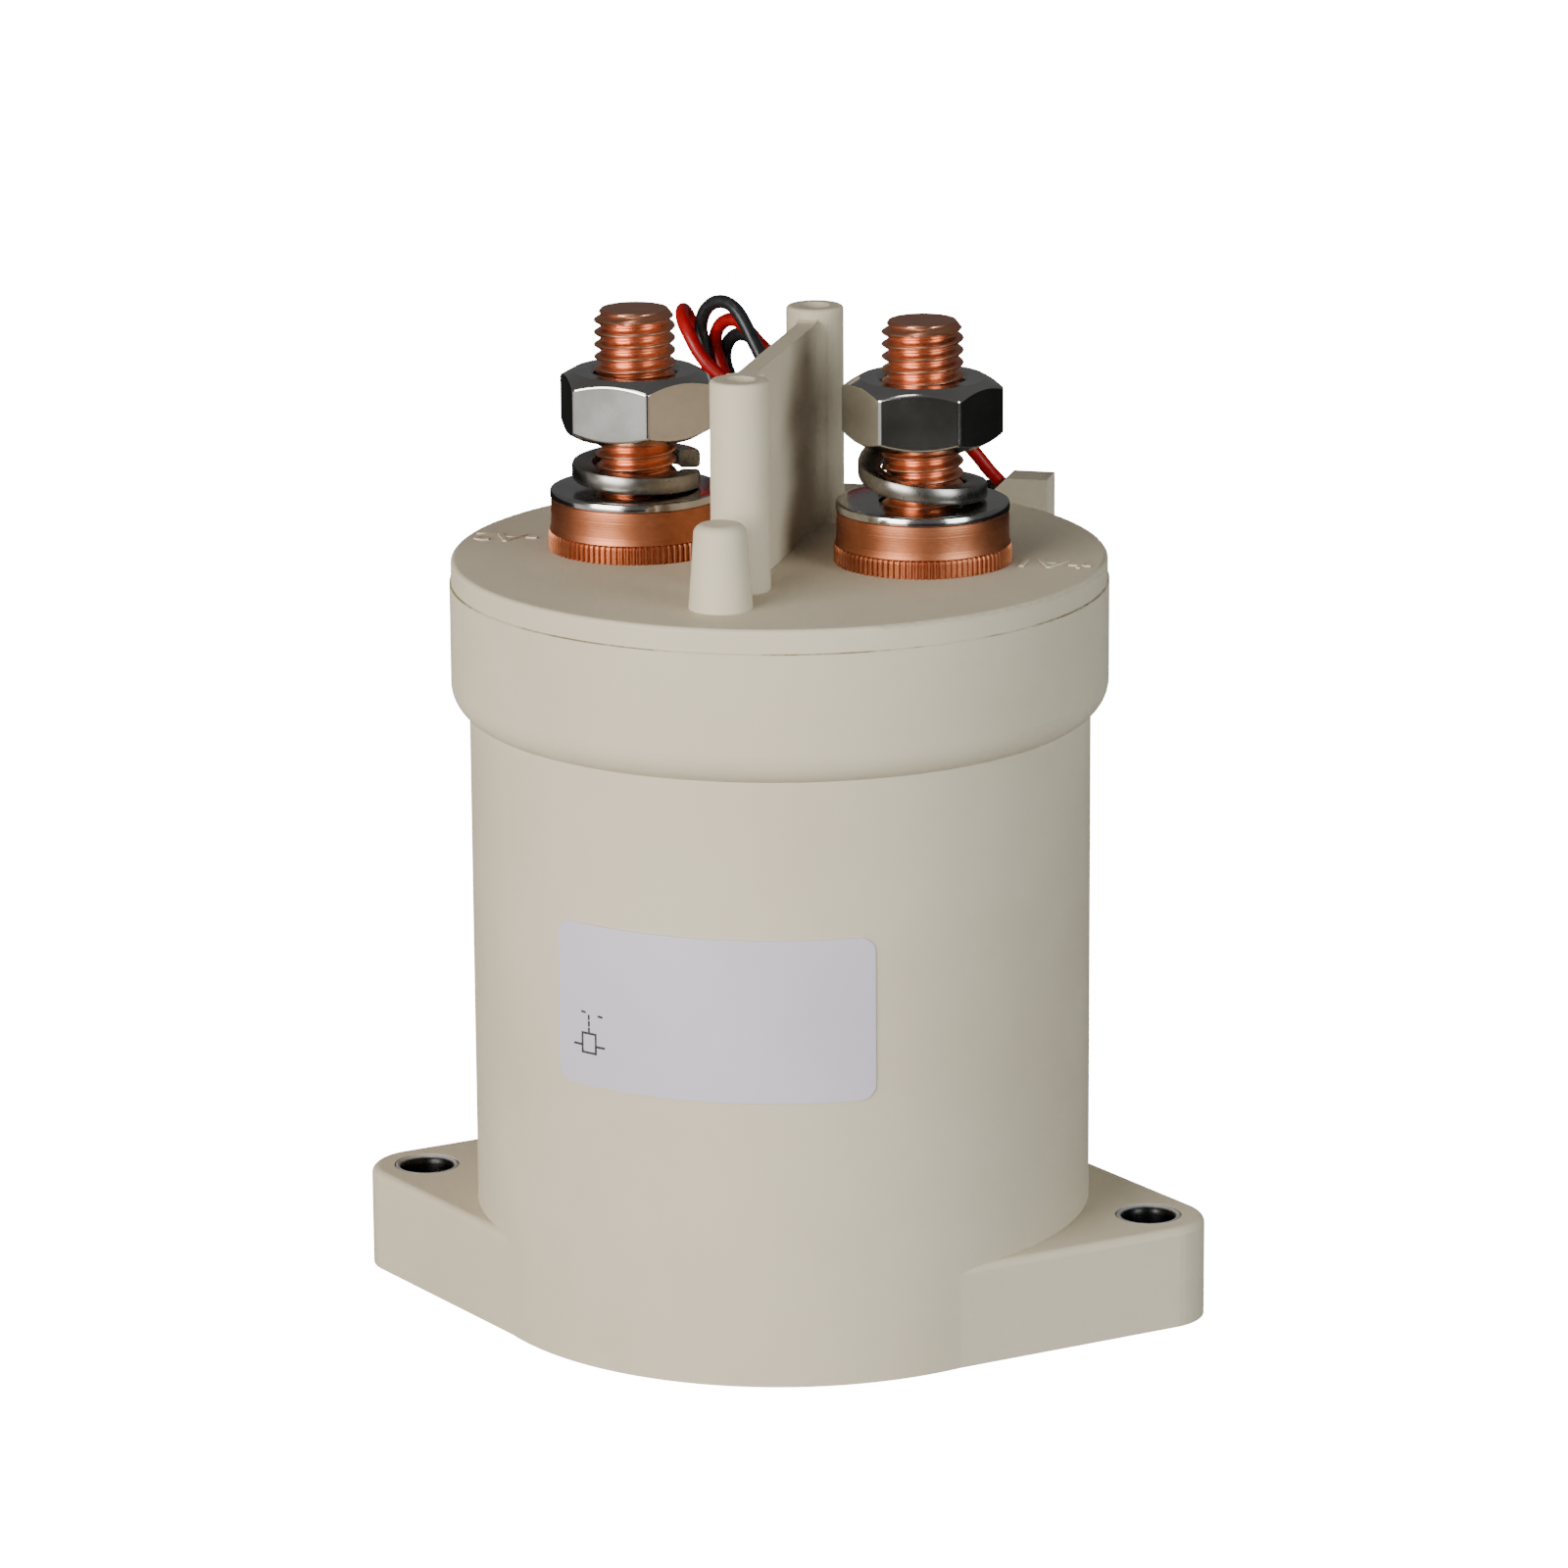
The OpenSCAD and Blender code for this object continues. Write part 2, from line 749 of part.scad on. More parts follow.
// Insulating box over the contacts, with ledges for the magnets
module arc_chamber() {
    in_l = chamber_l - 2 * chamber_t;
    in_w = chamber_w - 2 * chamber_t;
    h = chamber_top - chamber_floor;
    color("ivory")
    difference() {
        union() {
            translate([0, 0, chamber_floor])
                round_block(chamber_l, chamber_w, h, chamber_corner);
            translate([0, 0, magnet_z - ledge_t])
                block(magnet_l, chamber_w + 2 * (magnet_t + set_gap), ledge_t);
        }
        translate([0, 0, chamber_floor - eps])
            round_block(in_l, in_w, h - chamber_top_t + eps, chamber_corner - chamber_t / 2);
        for (side = [-1, 1])
            translate([side * terminal_x, 0, chamber_top - chamber_top_t - eps])
                cylinder(d = column_d + 2 * set_gap, h = chamber_top_t + 2 * eps);
    }
}

module chamber_base() {
    color("wheat")
    translate([0, 0, plate_top])
        difference() {
            round_block(chamber_l, chamber_w, chamber_base_t, chamber_corner);
            translate([0, 0, -eps])
                cylinder(d = shaft_d + 2 * shaft_room, h = chamber_base_t + 2 * eps);
        }
}

module magnet(side) {
    color("slategray")
    translate([0, side * (chamber_w / 2 + set_gap + magnet_t / 2), magnet_z])
        block(magnet_l, magnet_t, magnet_h);
}

module front_magnet() { magnet(-1); }
module rear_magnet() { magnet(1); }

module contact_bridge() {
    color("peru")
    difference() {
        union() {
            translate([0, 0, bridge_z])
                round_block(bridge_l, bridge_w, bridge_t, bridge_t);
            for (side = [-1, 1])
                translate([side * terminal_x, 0, bridge_top])
                    cylinder(d = tip_d, h = tip_h);
        }
        translate([0, 0, bridge_z - eps])
            cylinder(d = shaft_d + 2 * slide_gap, h = bridge_t + 2 * eps);
    }
}

module contact_spring() {
    turns = 4;
    color("silver")
    coil_spring(contact_spring_d, contact_wire, contact_spring_z, bridge_z, turns);
}

// Open clip in the shaft's groove, over the bridge
module retaining_clip() {
    mouth = shaft_d - 2 * clip_groove - clip_pinch;
    color("dimgray")
    translate([0, 0, clip_z])
        difference() {
            ring(clip_out_r, shaft_d / 2 - clip_groove + set_gap / 2, clip_t);
            translate([0, -mouth / 2, -eps])
                cube([clip_out_r + eps, mouth, clip_t + 2 * eps]);
        }
}

module shaft() {
    foot = return_spring_z - shaft_foot_h;
    color("silver")
    difference() {
        union() {
            translate([0, 0, foot])
                cylinder(d = shaft_d, h = shaft_top - foot);
            translate([0, 0, collar_z])
                cylinder(r = collar_r, h = collar_t);
        }
        translate([0, 0, clip_z])
            ring(shaft_d, shaft_d / 2 - clip_groove, clip_t);
    }
}

module moving_core() {
    color("gray")
    difference() {
        translate([0, 0, core_z])
            cylinder(r = core_r, h = core_top - core_z);
        translate([0, 0, return_spring_z])
            cylinder(r = spring_seat_r, h = spring_seat_h + eps);
        translate([0, 0, return_spring_z - shaft_foot_h])
            cylinder(d = shaft_d + set_gap, h = shaft_foot_h + eps);
    }
}

module fixed_core() {
    color("gray")
    difference() {
        union() {
            translate([0, 0, fixed_core_z])
                cylinder(r = fixed_core_r, h = fixed_core_l);
            translate([0, 0, plate_z - eps])
                cylinder(r = fixed_neck_r, h = plate_t + eps);
        }
        translate([0, 0, fixed_core_z - eps])
            cylinder(r = spring_seat_r, h = spring_seat_h + eps);
        translate([0, 0, fixed_core_z])
            cylinder(d = shaft_d + 2 * slide_gap, h = fixed_core_l + plate_t + eps);
    }
}

module return_spring() {
    turns = 6;
    color("silver")
    coil_spring(return_spring_d, return_wire, return_spring_z, return_spring_top, turns);
}

// Thin closed sleeve that guides the moving core
module core_sleeve() {
    color("lightgray")
    translate([0, 0, cup_floor])
        difference() {
            cylinder(r = sleeve_out_r, h = bobbin_h);
            translate([0, 0, sleeve_t])
                cylinder(d = sleeve_d, h = bobbin_h);
        }
}

module bobbin() {
    color("darkolivegreen")
    translate([0, 0, cup_floor]) {
        ring(bobbin_in_r + bobbin_t, bobbin_in_r, bobbin_h);
        for (z = [0, bobbin_h - bobbin_t])
            translate([0, 0, z])
                ring(bobbin_flange_r, bobbin_in_r, bobbin_t);
    }
}

module coil_winding() {
    color("sienna")
    translate([0, 0, cup_floor + bobbin_t])
        ring(winding_out_r, winding_in_r, bobbin_h - 2 * bobbin_t);
}

module yoke_cup() {
    color("gray")
    translate([0, 0, floor_t])
        difference() {
            cylinder(r = yoke_r, h = yoke_floor_t + bobbin_h);
            translate([0, 0, yoke_floor_t])
                cylinder(r = yoke_in_r, h = bobbin_h + eps);
        }
}

module pole_plate() {
    color("gray")
    translate([0, 0, plate_z])
        ring(yoke_r, fixed_neck_r + set_gap, plate_t);
}

housing();
left_bush();
right_bush();
lid();
left_terminal();
right_terminal();
left_flat_washer();
right_flat_washer();
left_spring_washer();
right_spring_washer();
left_nut();
right_nut();
label();
red_lead();
black_lead();
lead_hank();
lead_tie();
arc_chamber();
chamber_base();
front_magnet();
rear_magnet();
contact_bridge();
contact_spring();
retaining_clip();
shaft();
moving_core();
fixed_core();
return_spring();
core_sleeve();
bobbin();
coil_winding();
yoke_cup();
pole_plate();
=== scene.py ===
# %% [markdown]
# # A high voltage DC contactor
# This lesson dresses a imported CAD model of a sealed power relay: a round moulded housing with a
# mounting flange, a lid with an insulating barrier, two copper studs with their washers and nuts,
# and two coil leads folded into a hank. The CAD solids give every size and every joint. Blender
# adds what a solid modeller leaves plain: threads, knurls, rolled edges, real wires and finishes.

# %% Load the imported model
import math

import bmesh
import bpy
from mathutils import Matrix, Vector


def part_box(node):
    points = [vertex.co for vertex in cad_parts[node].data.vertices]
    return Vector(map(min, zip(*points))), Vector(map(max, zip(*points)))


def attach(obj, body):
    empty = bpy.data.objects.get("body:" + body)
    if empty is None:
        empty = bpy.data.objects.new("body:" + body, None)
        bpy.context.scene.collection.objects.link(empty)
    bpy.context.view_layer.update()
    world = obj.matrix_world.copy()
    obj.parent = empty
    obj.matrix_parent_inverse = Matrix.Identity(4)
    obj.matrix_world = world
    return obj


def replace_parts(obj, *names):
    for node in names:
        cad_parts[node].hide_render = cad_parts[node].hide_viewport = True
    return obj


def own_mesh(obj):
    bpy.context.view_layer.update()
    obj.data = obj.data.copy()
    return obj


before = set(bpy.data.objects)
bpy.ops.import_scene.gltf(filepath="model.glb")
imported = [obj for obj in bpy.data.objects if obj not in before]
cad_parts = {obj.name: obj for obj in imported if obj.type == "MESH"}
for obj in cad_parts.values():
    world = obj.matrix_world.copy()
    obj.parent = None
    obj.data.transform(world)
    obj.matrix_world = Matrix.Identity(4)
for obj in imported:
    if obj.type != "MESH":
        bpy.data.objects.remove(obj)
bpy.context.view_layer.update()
MM = 0.001

# %% [markdown]
# ## Camera
# A product photo like this one is taken from far away with a long lens, so upright lines stay
# upright. The camera is placed by the angle it looks from, the point on the contactor's axis that
# it looks at, and its distance. A small roll copies the slight tilt of the original picture.

# %% Place the camera
VIEW_TURN, VIEW_TILT, VIEW_ROLL = math.radians(13.7), math.radians(14.938), math.radians(0.373)
AIM = Vector((0.383, 0.093, 64.483)) * MM
DISTANCE = 881.51 * MM

ahead = Vector((-math.sin(VIEW_TURN) * math.cos(VIEW_TILT),
                math.cos(VIEW_TURN) * math.cos(VIEW_TILT), -math.sin(VIEW_TILT)))
level_right = Vector((math.cos(VIEW_TURN), math.sin(VIEW_TURN), 0))
level_up = level_right.cross(ahead)
right = level_right * math.cos(VIEW_ROLL) - level_up * math.sin(VIEW_ROLL)
up = level_right * math.sin(VIEW_ROLL) + level_up * math.cos(VIEW_ROLL)

camera = bpy.data.objects.new("camera", bpy.data.cameras.new("camera"))
bpy.context.scene.collection.objects.link(camera)
camera.data.sensor_width = 36
camera.data.lens = 165.73
camera.data.clip_start, camera.data.clip_end = 0.05, 20
camera.matrix_world = Matrix((
    (right.x, up.x, -ahead.x, 0), (right.y, up.y, -ahead.y, 0), (right.z, up.z, -ahead.z, 0), (0, 0, 0, 1)))
camera.location = AIM - DISTANCE * ahead
bpy.context.scene.camera = camera
print("camera at", [round(c, 3) for c in camera.location])

# %% [markdown]
# ## The coil leads
# Two thin leads leave a small block at the back of the lid, pass behind the terminals and are
# folded into a hank that leans beside the rear post. A wire is a fixed length of something round,
# so each one is a single curve with a round bevel. The folded part is laid out in the hank's own
# frame: X across the hank, Y along it and Z through it, with one layer for every strand, so that
# no strand runs through another.

# %% The hank's own frame
LID_TOP = 93.5
LEAD_D = 1.7
HANK_AT = Vector((-10.6, 31.2, 12.2))
HANK_FRAME = Matrix.Rotation(math.radians(-30), 3, "Z") @ Matrix.Rotation(
    math.radians(-44), 3, "Y") @ Matrix.Rotation(math.radians(90), 3, "X")
LOOP_R, HALF_RUN = 4.5, 9.1
LAYERS = (-2.7, -0.9, 0.9)


def from_hank(points):
    """Points of the hank's frame as millimetres above the lid."""
    return [HANK_AT + HANK_FRAME @ Vector(p) for p in points]


def fold(x, y, radius, layer, first, last, count=7):
    """One fold of a strand: an arc in one layer of the hank."""
    turns = [math.radians(first + (last - first) * i / (count - 1)) for i in range(count)]
    return [(x + radius * math.cos(t), y + radius * math.sin(t), layer) for t in turns]


# %% [markdown]
# Each lead climbs into the hank on the right, folds over the top, runs down the left and turns at
# the bottom. Black then goes round a second time, in a layer further forward. Red crosses to the
# front instead and ends in a narrow fold that leans backwards, so from the front its two legs look
# like one.

# %% Lay the strands
red_strands = [(8, -8.4, -5.5), (7.5, -4.6, -4.1), (6.3, -0.6, -2.5), (4.9, 3.6, -1.2)]
red_strands += fold(0.9, 7.4, 3.3, LAYERS[1], 4, 172)
red_strands += [(-3.4, 4.4, LAYERS[1]), (-LOOP_R, 0, LAYERS[1]), (-LOOP_R, -4, LAYERS[1])]
red_strands += fold(0, -HALF_RUN, LOOP_R, LAYERS[1], 180, 360)
red_strands += [(4.3, -6.5, 0.2), (3.4, -3.5, 1.6), (2.2, -0.6, 2.9), (1, 2.2, 3.6), (0.1, 4.8, 3.75),
                (-0.3, 6.4, 3.8), (-0.4, 8.4, 3.9), (-0.16, 10.7, 3.9), (-0.26, 12.5, 3.5),
                (-0.65, 14, 2.5), (-1.3, 15, 1.2), (-2.2, 15.4, -0.1), (-3.2, 14.8, -1.2),
                (-4.2, 13.3, -1.9), (-4.7, 11.3, -2.1), (-4.9, 9.5, -2.05), (-5, 7.9, -1.85)]

black_strands = [(7.2, -9.6, -8.5), (6.2, -5.6, -6.8), (4.8, -1.4, -4.9), (3.2, 2.6, -3.2)]
black_strands += fold(-0.6, 5.9, 3.3, LAYERS[0], 4, 172)
black_strands += [(-LOOP_R, 2, LAYERS[0]), (-LOOP_R, -3, LAYERS[0])]
black_strands += fold(0, -HALF_RUN, LOOP_R, LAYERS[0], 180, 360)
black_strands += [(LOOP_R, -7.6, -2.3), (LOOP_R, -4, -0.7), (4.7, -0.2, 0.5), (5.4, 3.6, 0.8)]
black_strands += fold(2.1, 8.9, 3.9, 0.8, 2, 165)
black_strands += [(-3, 7.8, 0.8), (-4.1, 4.8, 0.8), (-LOOP_R, 1, LAYERS[2]), (-LOOP_R, -4, LAYERS[2])]
black_strands += fold(0, -HALF_RUN, LOOP_R, LAYERS[2], 180, 255, 4)
print("points in the hank:", len(red_strands), "red,", len(black_strands), "black")

# %% [markdown]
# The points are joined by a spline that passes through each of them and keeps its bends gentle
# (a centripetal Catmull-Rom spline), and the curve is then cut into short even steps. A curve's
# bevel is its depth times the radius of each point, and the curve's box counts that radius, so the
# wire's thickness is set on the points and the depth is 1.


# %% Smooth the route of a lead
def through(points, steps=8):
    """A smooth line through the points."""
    points = [2 * points[0] - points[1], *points, 2 * points[-1] - points[-2]]
    line = []
    for a, b, c, d in zip(points, points[1:], points[2:], points[3:]):
        t1 = math.sqrt((b - a).length)
        t2 = t1 + math.sqrt((c - b).length)
        t3 = t2 + math.sqrt((d - c).length)
        for i in range(steps):
            t = t1 + (t2 - t1) * i / steps
            ab, bc, cd = a.lerp(b, t / t1), b.lerp(c, (t - t1) / (t2 - t1)), c.lerp(d, (t - t2) / (t3 - t2))
            line.append(ab.lerp(bc, t / t2).lerp(bc.lerp(cd, (t - t1) / (t3 - t1)), (t - t1) / (t2 - t1)))
    return line + [points[-2]]


BORE_DEPTH, STRAIGHT_OUT = 1.4, 2.0


def lead_route(mouth, way, route, hank_points):
    """Centre line of a lead in metres, from its bore in the outlet block to its end."""
    straight = [mouth - BORE_DEPTH * way, mouth + STRAIGHT_OUT * way]
    points = straight + [Vector(p) for p in route] + from_hank(hank_points)
    return [(p + Vector((0, 0, LID_TOP))) * MM for p in through(points)]


LID_R, OUTLET_X, OUTLET_INSET = 39.8, 19.4, 2.3
RIM_Y = math.sqrt(LID_R ** 2 - OUTLET_X ** 2) - OUTLET_INSET
RED_MOUTH, RED_WAY = Vector((20.3, RIM_Y + 1.4, 2.2)), Vector((-1, 0, 1)).normalized()
BLACK_MOUTH, BLACK_WAY = Vector((OUTLET_X, RIM_Y + 3.6, 1.15)), Vector((-1, 0, 0))
red_line = lead_route(RED_MOUTH, RED_WAY, [(16.2, 33.6, 6.8), (13, 33.4, 9.4), (9.3, 32.6, 10.6),
                                           (5.2, 31.4, 11.3)], red_strands)
black_line = lead_route(BLACK_MOUTH, BLACK_WAY, [(14.4, 35.5, 1.3), (11.2, 34.7, 2.2), (8.2, 33.9, 3.5),
                                                 (5.2, 33.4, 5.2)], black_strands)


def length_of(line):
    return sum((b - a).length for a, b in zip(line, line[1:]))


print("lead lengths in mm:", round(length_of(red_line) / MM, 1), round(length_of(black_line) / MM, 1))


# %% Make the two leads
def lead_curve(name, line):
    """A round wire along a line of points."""
    curve = bpy.data.curves.new(name, "CURVE")
    curve.dimensions = "3D"
    curve.bevel_depth = 1
    curve.bevel_resolution = 5
    curve.use_fill_caps = True
    spline = curve.splines.new("POLY")
    spline.points.add(len(line) - 1)
    for point, place in zip(spline.points, line):
        point.co, point.radius = (*place, 1), LEAD_D / 2 * MM
    spline.use_smooth = True
    wire = bpy.data.objects.new(name, curve)
    bpy.context.scene.collection.objects.link(wire)
    return wire


red_wire, black_wire = lead_curve("red_wire", red_line), lead_curve("black_wire", black_line)
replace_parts(red_wire, "red_lead", "lead_hank")
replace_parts(black_wire, "black_lead")
for wire, slot in ((red_wire, "red_insulation"), (black_wire, "black_insulation")):
    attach(wire, "root")

# %% [markdown]
# ## From a bmesh to a piece
# Every other new piece is modelled in a bmesh, in millimetres, because that is how a drawing of
# such a part is dimensioned. One helper scales the mesh to metres, merges doubles, turns the faces
# outwards, shades it smooth except at sharp edges, and lets it ride on its CAD body. The others do
# what comes back in most pieces: turn a section round an axis, round edges, or cut to a height.


# %% Helpers for pieces
def finished(name, bm, body="root", sharp=35):
    """The bmesh, in millimetres, as a named piece that rides on a body."""
    bmesh.ops.remove_doubles(bm, verts=bm.verts, dist=0.002)
    bmesh.ops.recalc_face_normals(bm, faces=bm.faces)
    bmesh.ops.scale(bm, vec=(MM, MM, MM), verts=bm.verts)
    mesh = bpy.data.meshes.new(name)
    bm.to_mesh(mesh)
    bm.free()
    mesh.shade_smooth()
    mesh.set_sharp_from_angle(angle=math.radians(sharp))
    piece = bpy.data.objects.new(name, mesh)
    bpy.context.scene.collection.objects.link(piece)
    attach(piece, body)
    print(name, "has", len(mesh.polygons), "faces")
    return piece


def spun(bm, section, axis_x=0.0, closed=True, steps=96):
    """Turns a section of (radius, height) points once round an upright axis."""
    verts = [bm.verts.new((axis_x + r, 0, z)) for r, z in section]
    edges = [bm.edges.new(pair) for pair in zip(verts, verts[1:])]
    if closed:
        edges.append(bm.edges.new((verts[-1], verts[0])))
    bmesh.ops.spin(bm, geom=verts + edges, cent=(axis_x, 0, 0), axis=(0, 0, 1), angle=math.tau,
                   steps=steps, use_merge=True)


def points_in(geometry):
    """The points among what an extrusion has made."""
    return [g for g in geometry if isinstance(g, bmesh.types.BMVert)]


def rounded(bm, edges, offset, segments):
    """Rounds edges with a bevel."""
    bmesh.ops.bevel(bm, geom=edges, offset=offset, offset_type="OFFSET", segments=segments, profile=0.5,
                    affect="EDGES", material=-1)


def closed_up(bm):
    """Fills every open edge loop."""
    bmesh.ops.holes_fill(bm, edges=[e for e in bm.edges if e.is_boundary], sides=0)


def cut_between(bm, foot, top):
    """Keeps what lies between two heights and closes the cuts."""
    for height, way in ((foot, -1), (top, 1)):
        bmesh.ops.bisect_plane(bm, geom=bm.verts[:] + bm.edges[:] + bm.faces[:], dist=1e-5,
                               plane_co=(0, 0, height), plane_no=(0, 0, way), clear_outer=True)
    closed_up(bm)


# %% [markdown]
# ## Stripped ends
# Each lead ends bare: a few millimetres of tinned, twisted strands stick out of the insulation.
# A short cylinder with a waist is enough, turned to the direction in which the wire ends.


# %% Stripped ends of the leads
def stripped_end(name, line):
    """Tinned strands that continue a lead past the end of its insulation."""
    bm = bmesh.new()
    spun(bm, [(0, -1), (0.5, -1), (0.5, 0.4), (0.46, 2.2), (0.48, 3.6), (0.3, 4), (0, 4)],
         closed=False, steps=16)
    way = (line[-1] - line[-2]).normalized()
    bmesh.ops.transform(bm, matrix=way.to_track_quat("Z", "Y").to_matrix().to_4x4(), verts=bm.verts)
    bmesh.ops.translate(bm, vec=line[-1] / MM, verts=bm.verts)
    return finished(name, bm)


red_end = stripped_end("red_wire_end", red_line)
black_end = stripped_end("black_wire_end", black_line)

# %% [markdown]
# ## The tie round the hank
# A narrow nylon band keeps the folds together. It starts as a circle that is squared up to the
# hank's outline, is drawn out to the width of the band, and gets its thickness. The lock, a small
# bevelled block, sits at the back.

# %% Tie
TIE_Y, TIE_W, TIE_T = -6.0, 2.4, 0.75
HALF_ACROSS, HALF_THROUGH = 5.5, 3.7
LOCK_AT, LOCK_SIZE = Vector((1, -4.5, 0)), Vector((3.4, 1.5, 3.2))

bm = bmesh.new()
for v in bmesh.ops.create_circle(bm, segments=64, radius=1)["verts"]:
    square = max(abs(v.co.x), abs(v.co.y)) ** 0.8
    v.co = Vector((v.co.x * HALF_ACROSS / square, v.co.y * HALF_THROUGH / square, -TIE_W / 2))
drawn = bmesh.ops.extrude_edge_only(bm, edges=bm.edges[:])["geom"]
bmesh.ops.translate(bm, vec=(0, 0, TIE_W), verts=points_in(drawn))
bmesh.ops.recalc_face_normals(bm, faces=bm.faces)
bmesh.ops.solidify(bm, geom=bm.faces[:], thickness=-TIE_T)
lock = bmesh.ops.create_cube(bm, size=1, matrix=Matrix.LocRotScale(LOCK_AT, None, LOCK_SIZE))
rounded(bm, list({e for v in lock["verts"] for e in v.link_edges}), 0.35, 2)
upright = Matrix.Translation((0, TIE_Y, 0)) @ Matrix.Rotation(math.radians(90), 4, "X")
in_place = Matrix.Translation(HANK_AT + Vector((0, 0, LID_TOP))) @ HANK_FRAME.to_4x4() @ upright
bmesh.ops.transform(bm, matrix=in_place, verts=bm.verts)
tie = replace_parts(finished("wire_tie", bm), "lead_tie")

# %% [markdown]
# ## Threaded copper terminals
# Each terminal is turned from one copper bar: a column that reaches into the arc chamber, a
# knurled collar that keys into the lid, a flat pad, and an M10 stud. The turned part is a spun
# profile. The thread is a spin as well: one tooth of the thread, moved up by its pitch at each
# turn, which is what the die does to the real stud.

# %% Turned part of a terminal
TERMINAL_X = 17.8
PAD_TOP, STUD_TOP = 99.9, 122.9
PITCH, CREST_R, ROOT_R, STEPS = 1.5, 4.95, 4.12, 48
WAVE_POINTS, WAVE_POWER = 14, 1.9
END_CHAMFER, END_DRAWN_IN = 1.1, 0.9
KNURL_R, KNURL_ROOT_R, TEETH = 10.75, 10.4, 90


def turned_bar(bm, axis_x):
    """Column, neck and pad, with softened edges and a small flare above the knurl."""
    spun(bm, [(0, 69.8), (7.7, 69.8), (8, 70.1), (8, 86.5), (9.5, 86.5), (9.5, LID_TOP), (10.3, LID_TOP),
              (10.3, 95.5), (10.6, 95.8), (10.47, 96.2), (10.42, 96.8), (10.4, 98), (10.42, 99.4),
              (10.38, 99.75), (10.2, PAD_TOP), (0, PAD_TOP)], axis_x, closed=False)


def knurled_collar(bm, axis_x):
    """Straight knurl: every second pair of points of a fine circle is pressed in."""
    ring = bmesh.ops.create_circle(bm, cap_ends=True, segments=4 * TEETH, radius=KNURL_R)["verts"]
    for i, v in enumerate(ring):
        if i % 4 > 1:
            v.co *= KNURL_ROOT_R / KNURL_R
    bmesh.ops.translate(bm, vec=(axis_x, 0, LID_TOP), verts=ring)
    face = ring[0].link_faces[0]
    for rise, share in ((1.8, 1), (0.35, 0.988), (0.15, 0.968)):
        face = next(g for g in bmesh.ops.extrude_face_region(bm, geom=[face])["geom"]
                    if isinstance(g, bmesh.types.BMFace))
        bmesh.ops.translate(bm, vec=(0, 0, rise), verts=face.verts)
        bmesh.ops.scale(bm, vec=(share, share, 1), space=Matrix.Translation((-axis_x, 0, 0)),
                        verts=face.verts)


# %% [markdown]
# A rolled thread has round crests and round, slightly wider grooves, so its section is a wave. After
# the spin, two cutting planes trim the helix to the height of the stud, the cut ends are filled, and
# the points near the top are drawn in to form the chamfer.


# %% Thread of a terminal
def rolled_thread(bm, axis_x):
    """Right-hand M10 thread between the pad and the end of the stud."""
    shares = [i / WAVE_POINTS for i in range(WAVE_POINTS + 1)]
    section = [(ROOT_R + (CREST_R - ROOT_R) * math.sin(math.pi * share) ** WAVE_POWER, PITCH * share)
               for share in shares]
    foot, top = PAD_TOP - 0.2, STUD_TOP
    turns = math.ceil((top - foot) / PITCH) + 2
    thread = bmesh.new()
    verts = [thread.verts.new((r, 0, foot - 1.5 * PITCH + z)) for r, z in section]
    edges = [thread.edges.new(pair) for pair in zip(verts, verts[1:])]
    bmesh.ops.spin(thread, geom=verts + edges, cent=(0, 0, 0), axis=(0, 0, 1), dvec=(0, 0, PITCH / STEPS),
                   angle=math.tau * turns, steps=STEPS * turns)
    bmesh.ops.remove_doubles(thread, verts=thread.verts, dist=0.001)
    cut_between(thread, foot, top)
    for v in thread.verts:
        across = math.hypot(v.co.x, v.co.y)
        limit = CREST_R - END_DRAWN_IN * max(0, 1 - (top - v.co.z) / END_CHAMFER) ** 0.9
        if across > limit:
            v.co.x, v.co.y = v.co.x * limit / across, v.co.y * limit / across
    bmesh.ops.translate(thread, vec=(axis_x, 0, 0), verts=thread.verts)
    mesh = bpy.data.meshes.new("thread")
    thread.to_mesh(mesh)
    thread.free()
    bm.from_mesh(mesh)
    bpy.data.meshes.remove(mesh)


terminals = []
for side, name in ((-1, "left"), (1, "right")):
    bm = bmesh.new()
    turned_bar(bm, side * TERMINAL_X)
    knurled_collar(bm, side * TERMINAL_X)
    rolled_thread(bm, side * TERMINAL_X)
    stud = finished(f"{name}_stud", bm, sharp=28)
    terminals.append(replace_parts(stud, f"{name}_terminal"))

# %% [markdown]
# ## Washers
# A flat washer is stamped, so its upper edge is rounded and its lower edge is crisp. The spring
# washer is one turn of square wire, cut through. Spin makes both: a full turn for the flat washer,
# and not quite a full turn for the spring washer, whose points are then lifted along the turn.

# %% Flat washers and spring washers
WASHER_TOP = PAD_TOP + 1
WIRE_W, WIRE_H, WIRE_CORNER = 2.6, 2.2, 0.45
COIL_R, CUT, COIL_STEPS = 6.5, math.radians(4), 120


def flat_washer(bm, axis_x):
    spun(bm, [(5.25, PAD_TOP), (10.45, PAD_TOP), (10.5, PAD_TOP + 0.05), (10.5, PAD_TOP + 0.65),
              (10.42, PAD_TOP + 0.85), (10.2, WASHER_TOP - 0.02), (10, WASHER_TOP), (5.35, WASHER_TOP),
              (5.25, WASHER_TOP - 0.1)], axis_x)


